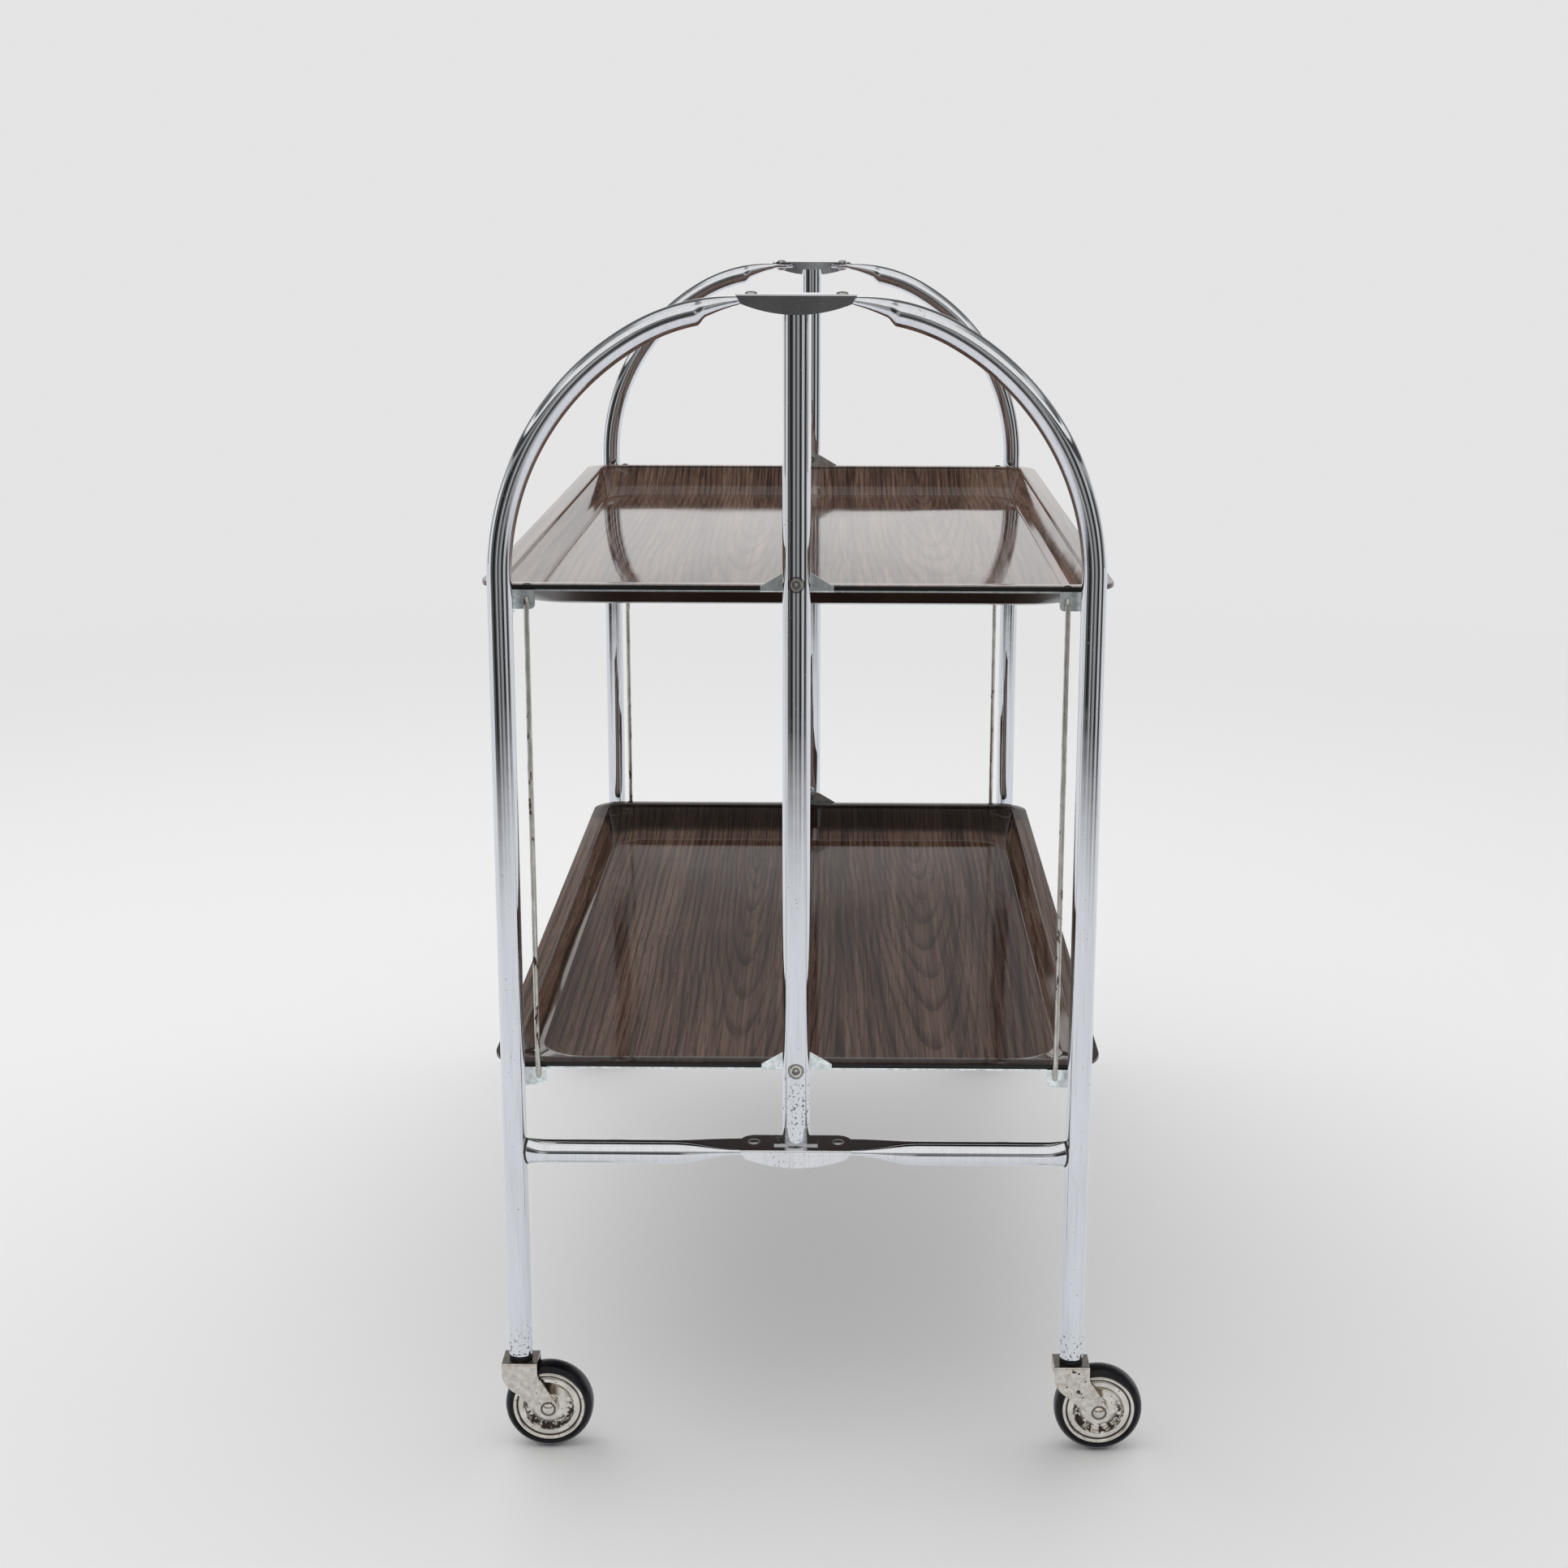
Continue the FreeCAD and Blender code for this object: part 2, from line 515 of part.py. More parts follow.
def rail(pivot_z, link_fit):
    """Front end rail: a strip under the lip, a raised pivot tab and two corner plates turned down."""
    lip_top = pivot_z - LIP_BELOW_PIVOT
    under = lip_top - TRAY_LIP_T
    strip_low = under - RAIL_SHEET
    strip = box(-RAIL_HALF_L, RAIL_HALF_L, TRAY_END_Y, TRAY_END_Y + RAIL_FLANGE_W, strip_low, under)
    base_x, top_x = TAB_BASE_W / 2, TAB_TOP_W / 2
    shoulder_z = pivot_z + TAB_SHOULDER
    left, right = Vector(-top_x, RAIL_FRONT_Y, shoulder_z), Vector(top_x, RAIL_FRONT_Y, shoulder_z)
    crown = arc(right, Vector(0, RAIL_FRONT_Y, pivot_z + TAB_CROWN), left)
    outline = chain([left, Vector(-base_x, RAIL_FRONT_Y, lip_top), Vector(-base_x, RAIL_FRONT_Y, strip_low),
                     Vector(base_x, RAIL_FRONT_Y, strip_low), Vector(base_x, RAIL_FRONT_Y, lip_top), right])
    tab = plate_xz(outline + [crown], RAIL_FRONT_Y, TRAY_END_Y)
    bridge = box(-base_x, base_x, RAIL_FRONT_Y, TRAY_END_Y, strip_low, under)
    hole_z = pivot_z - LINK_BELOW_PIVOT
    pieces = [tab, bridge]
    for sx in (-1, 1):
        inner, outer = LINK_X - CORNER_PLATE_IN, LINK_X + CORNER_PLATE_OUT
        x0, x1 = sorted((sx * inner, sx * outer))
        low_z = hole_z - CORNER_PLATE_BELOW
        plate = box(x0, x1, RAIL_FRONT_Y, TRAY_END_Y, low_z, under)
        corner = [e for e in plate.Edges
                  if abs(e.CenterOfMass.x - sx * inner) < 0.01 and abs(e.CenterOfMass.z - low_z) < 0.01]
        plate = plate.makeFillet(CORNER_PLATE_R, corner)
        # The outer side is turned back, and its lower end is the lug that keeps a leg open.
        y0, y1 = RAIL_FRONT_Y, TRAY_END_Y + LUG_L
        lug = chain([Vector(0, y0, strip_low), Vector(0, TRAY_END_Y + RAIL_SHEET, strip_low),
                     Vector(0, y1, low_z), Vector(0, TRAY_END_Y + LUG_L / 2, low_z - LUG_DROP),
                     Vector(0, y0, low_z), Vector(0, y0, strip_low)])
        lug = Part.Face(Part.Wire(lug)).extrude(ACROSS * (-sx * RAIL_SHEET))
        lug.translate(ACROSS * (sx * outer))
        pieces += [plate, lug]
    sheet = strip.fuse(pieces).removeSplitter()
    fold = [e for e in sheet.Edges if abs(e.CenterOfMass.x) < 0.01
            and abs(e.CenterOfMass.y - RAIL_FRONT_Y) < 0.01 and abs(e.CenterOfMass.z - strip_low) < 0.01]
    sheet = sheet.makeFillet(RAIL_SHEET * 0.8, fold)
    sheet = sheet.cut(pin_y(PIVOT_D + 2 * PIN_FIT, 0, pivot_z, RAIL_FRONT_Y - RAIL_SHEET, TRAY_END_Y + RAIL_SHEET))
    for x in (-LINK_X, LINK_X):
        hole_d = ROD_D + 2 * link_fit
        sheet = sheet.cut(pin_y(hole_d, x, hole_z, RAIL_FRONT_Y - RAIL_SHEET, TRAY_END_Y + RAIL_SHEET))
        sheet = sheet.cut(pin_z(RAIL_RIVET_D, x, -rail_rivet_y(), strip_low - RAIL_SHEET, under + RAIL_SHEET))
    return sheet


def rail_rivet(x, y, pivot_z):
    """Low-headed rivet through the lip and the rail strip."""
    lip_top = pivot_z - LIP_BELOW_PIVOT
    strip_low = lip_top - TRAY_LIP_T - RAIL_SHEET
    shank = pin_z(RAIL_RIVET_D, x, y, strip_low, lip_top)
    head = dome(RAIL_RIVET_HEAD_D, RAIL_RIVET_HEAD_H, Vector(x, y, lip_top), UP)
    tail = dome(RAIL_RIVET_TAIL_D, RAIL_RIVET_HEAD_H, Vector(x, y, strip_low), -UP)
    return shank.fuse([head, tail]).removeSplitter()


def link_rod():
    """Front right link rod, both ends bent back through the rails and capped."""
    high = PIVOT_HEIGHTS["upper"] - LINK_BELOW_PIVOT
    low = PIVOT_HEIGHTS["lower"] - LINK_BELOW_PIVOT
    tail_y = TRAY_END_Y + ROD_TAIL
    straight = pin_z(ROD_D, LINK_X, ROD_Y, low + ROD_BEND_R, high - ROD_BEND_R)
    pieces = []
    for z, sign in ((high, 1), (low, -1)):
        turn_z = z - sign * ROD_BEND_R
        hub = Vector(LINK_X, ROD_Y + ROD_BEND_R, turn_z)
        disc = Part.Face(Part.Wire(Part.makeCircle(ROD_D / 2, Vector(LINK_X, ROD_Y, turn_z), UP)))
        pieces.append(disc.revolve(hub, ACROSS * -sign, 90))
        pieces.append(pin_y(ROD_D, LINK_X, z, ROD_Y + ROD_BEND_R, tail_y))
        pieces.append(pin_y(ROD_CAP_D, LINK_X, z, tail_y, tail_y + ROD_CAP_H))
    return straight.fuse(pieces).removeSplitter()


# ---- Casters, with the swivel axis at X = 0, Y = 0 ----
def fork():
    """Pressed fork: a top plate and two cheeks that sweep back to the axle."""
    half_w, half_d = FORK_W / 2, FORK_DEPTH / 2
    plate = box(-half_w, half_w, -half_d, half_d, FORK_UNDER_Z, FORK_TOP_Z)
    axle = Vector(TRAIL, 0, WHEEL_D / 2)
    waist_z = FORK_TOP_Z - FORK_WAIST_DROP
    hip = Vector(-half_w * 0.25, 0, FORK_TOP_Z - FORK_HIP_DROP)
    breast = Vector(half_w + FORK_BREAST_OUT, 0, FORK_TOP_Z - FORK_BREAST_DROP)

    def touch(point, side):
        """Where a straight edge from a point meets the round eye."""
        away = axle - point
        swing = math.acos(FORK_EYE_R / away.Length)
        back = math.atan2(point.z - axle.z, point.x - axle.x)
        angle = back + side * swing
        return axle + Vector(math.cos(angle), 0, math.sin(angle)) * FORK_EYE_R

    low, high = touch(hip, 1), touch(breast, -1)
    nose = axle + Vector(1, 0, -1).normalize() * FORK_EYE_R
    left = Vector(-half_w, 0, waist_z)
    right = Vector(half_w, 0, waist_z)
    edges = chain([Vector(-half_w, 0, FORK_TOP_Z), left])
    edges.append(arc(left, Vector(-half_w * 0.78, 0, waist_z - (waist_z - hip.z) * 0.55), hip))
    edges += chain([hip, low])
    edges.append(arc(low, nose, high))
    edges += chain([high, breast])
    edges.append(arc(breast, Vector(half_w + FORK_BREAST_OUT * 0.3, 0, (waist_z + breast.z) / 2), right))
    edges += chain([right, Vector(half_w, 0, FORK_TOP_Z), Vector(-half_w, 0, FORK_TOP_Z)])
    cheek = plate_xz(edges, 0, FORK_SHEET)
    pieces = []
    for y in (-half_d, half_d - FORK_SHEET):
        copy = cheek.copy()
        copy.translate(ALONG * y)
        pieces.append(copy)
    body = plate.fuse(pieces).removeSplitter()
    folds = [e for e in body.Edges if abs(e.CenterOfMass.z - FORK_TOP_Z) < 0.01
             and abs(abs(e.CenterOfMass.y) - half_d) < 0.01]
    body = body.makeFillet(FORK_SHEET * 0.8, folds)
    body = body.cut(pin_y(AXLE_D, TRAIL, WHEEL_D / 2, -FORK_DEPTH, FORK_DEPTH))
    return body.cut(pin_z(STEM_D, 0, 0, FORK_UNDER_Z - FORK_SHEET, FORK_TOP_Z + FORK_SHEET))


def stem():
    """Swivel stem, headed under the fork plate."""
    shank = pin_z(STEM_D, 0, 0, FORK_UNDER_Z, LEG_BOTTOM_Z + STEM_RISE)
    head = pin_z(STEM_HEAD_D, 0, 0, FORK_UNDER_Z - STEM_HEAD_H, FORK_UNDER_Z)
    return shank.fuse(head).removeSplitter()


def socket():
    """Bush in the foot of a leg, with a collar that the leg stands on."""
    sleeve = pin_z(TUBE_D - 2 * TUBE_WALL, 0, 0, LEG_BOTTOM_Z, LEG_BOTTOM_Z + SOCKET_RISE)
    collar = pin_z(TUBE_D - 2 * COLLAR_INSET, 0, 0, FORK_TOP_Z + FACE_GAP, LEG_BOTTOM_Z)
    bush = sleeve.fuse(collar).removeSplitter()
    return bush.cut(pin_z(STEM_D + 2 * PIN_FIT, 0, 0, FORK_TOP_Z, LEG_BOTTOM_Z + STEM_RISE + FACE_GAP))


def axle():
    """Riveted axle through both cheeks."""
    half_d = FORK_DEPTH / 2
    z = WHEEL_D / 2
    shank = pin_y(AXLE_D, TRAIL, z, -half_d, half_d)
    heads = []
    for sign in (-1, 1):
        base = Vector(TRAIL, sign * half_d, z)
        heads.append(dome(AXLE_HEAD_D, AXLE_HEAD_H, base, ALONG * sign))
    return shank.fuse(heads).removeSplitter()


def turned(profile):
    """A wheel part: (radius, half width) points, turned about the axle."""
    z = WHEEL_D / 2
    right = [Vector(TRAIL, width, z + radius) for radius, width in profile]
    left = [Vector(TRAIL, -width, z + radius) for radius, width in reversed(profile)]
    outline = Part.Wire(chain(right + left + right[:1]))
    return Part.Face(outline).revolve(Vector(TRAIL, 0, z), ALONG, 360)


def wheel_disc():
    """Pressed wheel: hub, dished web and a rim with a rolled bead."""
    bore, hub_r, dish_r, rim_r = AXLE_D / 2 + PIN_FIT, HUB_D / 2, DISH_D / 2, DISC_D / 2
    hub, web, bead = HUB_W / 2, WEB_W / 2, DISC_W / 2
    face = bead - RIM_BEAD_PROUD
    profile = [(bore, hub), (hub_r, hub), (hub_r + WEB_EASE, web), (dish_r - DISH_EASE, web), (dish_r, face),
               (rim_r - RIM_BEAD_L, face), (rim_r - RIM_BEAD_L * 5 / 6, face - RIM_GROOVE),
               (rim_r - RIM_BEAD_L * 2 / 3, bead), (rim_r, bead)]
    return turned(profile)


def tyre():
    """Rubber tyre with a rounded tread, seated on the rim."""
    inner_r, outer_r = DISC_D / 2, WHEEL_D / 2
    seat, side, tread = DISC_W / 2, TYRE_W / 2, TYRE_W / 4
    wall = TYRE_WALL
    ring = [Vector(TRAIL, y, WHEEL_D / 2 + r) for y, r in
            ((-seat, inner_r), (-side, inner_r + wall * 0.4), (-tread, outer_r - wall * 0.04),
             (0, outer_r), (tread, outer_r - wall * 0.04), (side, inner_r + wall * 0.4), (seat, inner_r))]
    shoulder = 0.79
    bulge_y = (side + tread) / 2 * 1.06
    bulge = WHEEL_D / 2 + inner_r + wall * shoulder
    edges = [Part.makeLine(ring[0], ring[1]), arc(ring[1], Vector(TRAIL, -bulge_y, bulge), ring[2]),
             arc(ring[2], ring[3], ring[4]), arc(ring[4], Vector(TRAIL, bulge_y, bulge), ring[5]),
             Part.makeLine(ring[5], ring[6]), Part.makeLine(ring[6], ring[0])]
    return Part.Face(Part.Wire(edges)).revolve(Vector(TRAIL, 0, WHEEL_D / 2), ALONG, 360)


def under_leg(shape, side):
    """A caster piece moved under a front leg. Both front casters trail the same way."""
    moved = shape.copy()
    moved.translate(Vector(side * HALF_LEGS, FRAME_Y, 0))
    return moved


# ---- Assembly ----
for end, shape in both_ends(post()).items():
    add(end + "_post", shape)
for end, shape in both_ends(post_foot()).items():
    add(end + "_post_foot", shape)
for level, height in BRACKET_HEIGHTS.items():
    for end, shape in both_ends(bracket(height)).items():
        add(end + "_" + level + "_bracket", shape)

rivets = [hinge_rivet(x, z) for z in BRACKET_HEIGHTS.values() for x in (-HINGE_X, HINGE_X)]
add("front_hinge_rivets", *rivets)
add("rear_hinge_rivets", *[half_turn(rivet) for rivet in rivets])

pivots = [tray_pivot(z) for z in PIVOT_HEIGHTS.values()]
add("front_tray_pivots", *pivots)
add("rear_tray_pivots", *[half_turn(pivot) for pivot in pivots])
spacers = [pivot_spacer(z) for z in PIVOT_HEIGHTS.values()]
add("front_pivot_spacers", *spacers)
add("rear_pivot_spacers", *[half_turn(spacer) for spacer in spacers])

for name, shape in (("wing_tube", wing_tube()), ("crossbar", crossbar()), ("link_rod", link_rod())):
    add_at_corners(name, shape, mirrored_x(shape))

for name, shape in (("caster_socket", socket()), ("caster_fork", fork()), ("caster_stem", stem()),
                    ("wheel_axle", axle()), ("wheel_disc", wheel_disc()), ("tyre", tyre())):
    add_at_corners(name, under_leg(shape, 1), under_leg(shape, -1))

for level, fit in (("upper", PIN_FIT), ("lower", LOOSE_FIT)):
    height = PIVOT_HEIGHTS[level]
    add(level + "_tray", tray(height))
    for end, shape in both_ends(rail(height, fit)).items():
        add(level + "_" + end + "_rail", shape)
    places = [(x, y) for y in (-rail_rivet_y(), rail_rivet_y()) for x in (-LINK_X, LINK_X)]
    add(level + "_rail_rivets", *[rail_rivet(x, y, height) for x, y in places])

os.makedirs("parts", exist_ok=True)
for name, shape in parts.items():
    shape.exportStep("parts/" + name + ".step")
print(len(parts), "nodes,", sum(len(shape.Solids) for shape in parts.values()), "solids")
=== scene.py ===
# %% [markdown]
# # A folding tea trolley
#
# The trolley has two dished wooden trays between two chromed end frames that stand on casters.
# Its solids come packed, with a body for each part that moves, and this lesson dresses them.
# What is straight and exact, such as a bracket, keeps its solid and gets a finish.
# What should flow, such as a bent tube or a dished tray, is built again as a smooth mesh
# that stands for its solid.

# %% Load the packed solids
import math

import bmesh
import bpy
from mathutils import Matrix, Vector


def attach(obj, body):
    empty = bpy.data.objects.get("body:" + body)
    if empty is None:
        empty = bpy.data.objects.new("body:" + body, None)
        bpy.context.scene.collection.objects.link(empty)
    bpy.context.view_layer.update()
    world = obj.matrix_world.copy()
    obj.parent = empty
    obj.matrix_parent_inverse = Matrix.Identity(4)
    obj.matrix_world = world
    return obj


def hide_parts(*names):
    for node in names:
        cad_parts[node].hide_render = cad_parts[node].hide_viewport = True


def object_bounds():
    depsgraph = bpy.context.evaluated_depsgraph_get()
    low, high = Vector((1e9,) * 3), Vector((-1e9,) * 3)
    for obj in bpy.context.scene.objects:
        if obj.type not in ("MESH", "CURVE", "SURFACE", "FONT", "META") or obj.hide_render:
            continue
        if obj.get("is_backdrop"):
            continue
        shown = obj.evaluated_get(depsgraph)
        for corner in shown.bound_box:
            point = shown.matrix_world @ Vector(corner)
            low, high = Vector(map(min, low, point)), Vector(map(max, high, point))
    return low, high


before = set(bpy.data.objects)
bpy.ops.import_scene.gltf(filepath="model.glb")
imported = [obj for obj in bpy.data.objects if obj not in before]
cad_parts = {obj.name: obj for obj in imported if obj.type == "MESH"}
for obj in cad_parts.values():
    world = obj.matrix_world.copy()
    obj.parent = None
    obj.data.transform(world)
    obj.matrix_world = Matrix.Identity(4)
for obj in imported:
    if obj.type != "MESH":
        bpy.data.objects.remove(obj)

solid_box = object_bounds()

# %% [markdown]
# ## Sizes
#
# Every piece is built from the sizes of the real trolley in millimetres, where they are easy to read.
# The helpers that make the meshes turn them into metres. X runs across, Y along, and Z is up.

# %% The sizes that several pieces share
MM = 0.001
TUBE_R = 8.0                       # wing tubes and crossbars
FLAT_HALF = 2.0                    # half the thickness of a tube end pressed flat
LEG_X, END_Y = 187.5, 380.0
HINGE_X, FLAT_X = 28.0, 38.0       # the hinge rivet, and where a tube end is quite flat
PIVOT_Z = {"upper": 597.0, "lower": 274.0}
LIP_DROP = 5.2                     # from a tray pivot down to the tray's lip
LINK_X = 173.0                     # the link rods and the rivets over them
WHEEL_R, TRAIL = 30.0, 19.0        # a wheel's axle is TRAIL away from its swivel
TRAY_X, TRAY_Y = 205.0, 360.0      # half a tray
# A corner's signs turn the points of the front right corner into its own.
CORNERS = {"front_right": (1, 1), "front_left": (-1, 1), "rear_right": (1, -1), "rear_left": (-1, -1)}
print("legs", 2 * LEG_X, "ends", 2 * END_Y, "trays", 2 * TRAY_X, "x", 2 * TRAY_Y)

# %% [markdown]
# ## One bench for every node tree
#
# A material, the world and a Geometry Nodes modifier are all trees of nodes.
# Written out node by node they hide the idea, so a socket is wrapped in a small class
# whose operators add Math nodes.
# A mask then reads as it would on paper: `worn = spots * (1 - smooth)`.
# One method makes any other node: its settings first, because they decide which sockets it has,
# then its sockets.

# %% Wire: a socket with operators
class Wire:
    def __init__(self, bench, socket):
        self.bench, self.socket = bench, socket

    def maths(self, operation, first, second):
        sockets = {0: first, 1: second}
        return self.bench.make("ShaderNodeMath", {"operation": operation}, sockets)

    def __add__(self, other):
        return self.maths("ADD", self, other)

    def __sub__(self, other):
        return self.maths("SUBTRACT", self, other)

    def __mul__(self, other):
        return self.maths("MULTIPLY", self, other)

    def __truediv__(self, other):
        return self.maths("DIVIDE", self, other)

    def __pow__(self, other):
        return self.maths("POWER", self, other)

    def __rsub__(self, other):
        return self.maths("SUBTRACT", other, self)

    def __abs__(self):
        return self.maths("ABSOLUTE", self, 0)

    def most(self, other):
        return self.maths("MAXIMUM", self, other)

    def line(self, place, core, edge):
        """1 where the value is within core of a place, fading to 0 at edge."""
        return 1 - abs(self - place).smooth(core, edge)

    def smooth(self, low, high):
        """0 below low and 1 above high, with a soft step between."""
        sockets = {"Value": self, "From Min": low, "From Max": high}
        return self.bench.make("ShaderNodeMapRange", {"interpolation_type": "SMOOTHSTEP"}, sockets)

    def ramp(self, stops):
        return self.bench.make("ShaderNodeValToRGB", {"stops": stops}, {"Fac": self})


def from_axis(first, second):
    """Distance from an axis, out of the two directions across it."""
    return (first * first + second * second) ** 0.5


print("a wire has", [name for name in vars(Wire) if not name.startswith("_")])

# %% Bench: makes nodes in one tree
class Bench:
    def __init__(self, tree):
        self.tree = tree

    def make(self, kind, settings=None, sockets=None, output=0):
        node = self.tree.nodes.new(kind)
        for name, value in (settings or {}).items():
            if name == "stops":
                self.stop(node.color_ramp, value)
            else:
                setattr(node, name, value)
        self.fill(node, sockets or {})
        return Wire(self, node.outputs[output])

    def fill(self, node, sockets):
        for name, value in sockets.items():
            by_name = [s for s in node.inputs if s.name == name and s.enabled]
            socket = node.inputs[name] if isinstance(name, int) else by_name[0]
            if isinstance(value, Wire):
                self.tree.links.new(value.socket, socket)
            else:
                socket.default_value = value

    def stop(self, ramp, stops):
        for place, _ in stops[2:]:
            ramp.elements.new(place)
        for element, (place, colour) in zip(ramp.elements, stops):
            element.position = place
            element.color = (*colour, 1) if isinstance(colour, tuple) else (colour,) * 3 + (1,)

    def split(self, vector):
        """The x, y and z of a vector."""
        node = self.make("ShaderNodeSeparateXYZ", {}, {0: vector}).socket.node
        return [Wire(self, socket) for socket in node.outputs]

    def rays(self):
        """Two wires: 1 for a ray from the camera, and 1 for a ray that metal or gloss has thrown."""
        kinds = ("Is Camera Ray", "Is Glossy Ray")
        return [self.make("ShaderNodeLightPath", {}, {}, output=kind) for kind in kinds]

    def mix(self, factor, first, second):
        """One colour over another."""
        pair = {"Factor": factor, "A": rgba(first), "B": rgba(second)}
        return self.make("ShaderNodeMix", {"data_type": "RGBA"}, pair, output=2)


def rgba(colour):
    return (*colour, 1) if isinstance(colour, tuple) else colour


print("a bench has", [name for name in vars(Bench) if not name.startswith("_")])

# %% Finish: a material on a bench
class Finish(Bench):
    """A Principled material that reads Object coordinates, which are the trolley's own metres."""

    def __init__(self, name):
        self.material = bpy.data.materials.new(name)
        self.material.use_nodes = True
        super().__init__(self.material.node_tree)
        self.shader = self.tree.nodes["Principled BSDF"]
        self.place = self.make("ShaderNodeTexCoord", {}, {}, output="Object")

    def axes(self):
        return self.split(self.place)

    def noise(self, scale, detail=2.0, stretch=(1, 1, 1), rough=0.5):
        """Cloudy noise from 0 to 1. Its scale is in patches per metre before the stretch."""
        place = self.place
        if stretch != (1, 1, 1):
            place = self.make("ShaderNodeMapping", {}, {"Vector": place, "Scale": stretch})
        sockets = {"Vector": place, "Scale": scale, "Detail": detail, "Roughness": rough}
        return self.make("ShaderNodeTexNoise", {}, sockets)

    def from_pivot(self, x, z):
        """Distance from the axis of the nearer tray pivot, in metres."""
        upper, lower = (abs(z - PIVOT_Z[level] * MM) for level in ("upper", "lower"))
        return from_axis(x, upper.maths("MINIMUM", upper, lower))

    def bump(self, height, strength, distance):
        """Relief on the surface: height 0 to 1 is a distance in metres."""
        sockets = {"Height": height, "Strength": strength, "Distance": distance}
        self.wear(Normal=self.make("ShaderNodeBump", {}, sockets))

    def wear(self, **sockets):
        """Set or link the shader's sockets. Base_Color stands for Base Color."""
        named = {name.replace("_", " "): value for name, value in sockets.items()}
        self.fill(self.shader, {name: rgba(value) for name, value in named.items()})


print("a finish adds", [name for name in vars(Finish) if not name.startswith("_")])

# %% [markdown]
# ## Finishes: chromed tube
#
# The posts, wings and crossbars are steel tube with bright chrome, decades old.
# Chrome is nearly a mirror, so most of its look is the room around it and very little is its own colour.
# What is its own is small: a faint ripple from polishing, a haze where hands and cloths have rubbed,
# fine scratches along the tube, and pinholes where the plating has let go, thickest low down.
# Each of them is a noise. What sits at a known place is found by its distance from an axis:
# the dark brazed seam where a crossbar meets its leg, and the dull washer round each tray pivot.

# %% Chrome with haze, ripple and pinholes
WASHER = 0.0049            # radius of the washer round a tray pivot, in metres


def chromed(name, tint, shine, pits, seam=False):
    finish = Finish(name)
    x, y, z = finish.axes()
    side = abs(x)
    post_foot = (1 - side.smooth(0.012, 0.020)) * (1 - z.smooth(0.245, 0.285))
    leg_foot = 1 - z.smooth(0.070, 0.092)
    haze = finish.noise(38, 3).smooth(0.42, 0.75)
    scratch = finish.noise(900, 2, stretch=(1, 1, 0.03)).smooth(0.50, 0.72)
    run = finish.noise(170, 3, stretch=(1, 1, 0.08), rough=0.6).smooth(0.35, 0.65)
    grain = finish.noise(520, 3, rough=0.55)
    patch = finish.noise(34, 2).smooth(0.34, 0.58)
    low_down = post_foot.most(leg_foot) * (patch * 0.6 + 0.4)
    pit = (grain.smooth(0.59, 0.62) * low_down + grain.smooth(0.68, 0.71) * patch * 0.4) * pits
    worn = finish.mix(scratch * 0.22 + run * 0.14, tint, tuple(c * 0.62 for c in tint))
    if seam:
        from_leg = from_axis(side - LEG_X * MM, abs(y) - END_Y * MM)
        pit = pit.most(1 - from_leg.smooth((TUBE_R + 0.8) * MM, (TUBE_R + 1.6) * MM))
    from_pivot = finish.from_pivot(x, z)
    washer = 1 - from_pivot.smooth(WASHER - 0.0003, WASHER + 0.0001)
    # rim is a thin dark line of painted shade where the washer's edge meets the tube
    rim = from_pivot.line(WASHER, 0.0002, 0.0006)
    worn = finish.mix(washer, worn, finish.mix(scratch, (0.44, 0.42, 0.37), (0.26, 0.24, 0.20)))
    finish.wear(Base_Color=finish.mix(pit.most(rim * 0.8), worn, (0.045, 0.034, 0.028)))
    finish.wear(Metallic=1 - pit * 0.8)
    finish.wear(Roughness=haze * 0.035 + scratch * 0.02 + shine + pit * 0.5 + washer * 0.22)
    finish.bump(finish.noise(55, 1) + pit * -0.4, 0.16, 0.00035)
    return finish.material


chrome = chromed("chromed tube", (0.75, 0.76, 0.785), 0.018, 1.0)
brazed = chromed("brazed crossbar", (0.76, 0.77, 0.79), 0.018, 0.4, seam=True)
plated = chromed("plated bracket", (0.77, 0.77, 0.78), 0.12, 0.30)
print("finishes", [m.name for m in (chrome, brazed, plated)])

# %% [markdown]
# ## Finishes: zinc, nickel and rivets
#
# The rails and link rods are zinc plated, which is greenish grey, soft and mottled, with rust coming through
# on the rods. The casters are nickel plated, which is warmer than chrome, with a dark ring round each axle
# head: dirt, and painted shade where the head meets the fork.
# All of them are one recipe: a metal, a mottle, and a second colour that breaks through
# where a noise is high. A tray pivot is a hollow rivet, so it has a finish of its own with a dark ring of
# painted shade round its hollow.

# %% Plating that wears through
AXLE_HEAD = 0.0046         # radius of an axle's head, in metres


def plating(name, tint, dull, under, scale, cover, shine, stretch=(1, 1, 1), axle=False):
    """cover is how high the noise must be for the metal below to show. axle adds a dark ring round its head:
    dirt, and painted shade where the head meets the fork.
    """
    finish = Finish(name)
    mottle = finish.noise(230, 3, stretch=stretch, rough=0.55)
    chip = finish.noise(scale, 4, stretch=stretch, rough=0.62).smooth(cover, cover + 0.035)
    if axle:
        x, _, z = finish.axes()
        # A dark ring round each axle head: dirt, and painted shade where the head meets the fork
        from_axle = from_axis(abs(abs(x) - LEG_X * MM) - TRAIL * MM, z - WHEEL_R * MM)
        chip = chip.most(from_axle.line(AXLE_HEAD, 0.0003, 0.0010) - 0.15)
    clean = finish.mix(mottle.smooth(0.3, 0.7), tint, dull)
    finish.wear(Base_Color=finish.mix(chip, clean, under))
    finish.wear(Metallic=1 - chip * 0.85)
    finish.wear(Roughness=mottle * 0.12 + shine + chip * 0.3)
    finish.bump(mottle * 0.3 - chip, 0.2, 0.0002)
    return finish.material


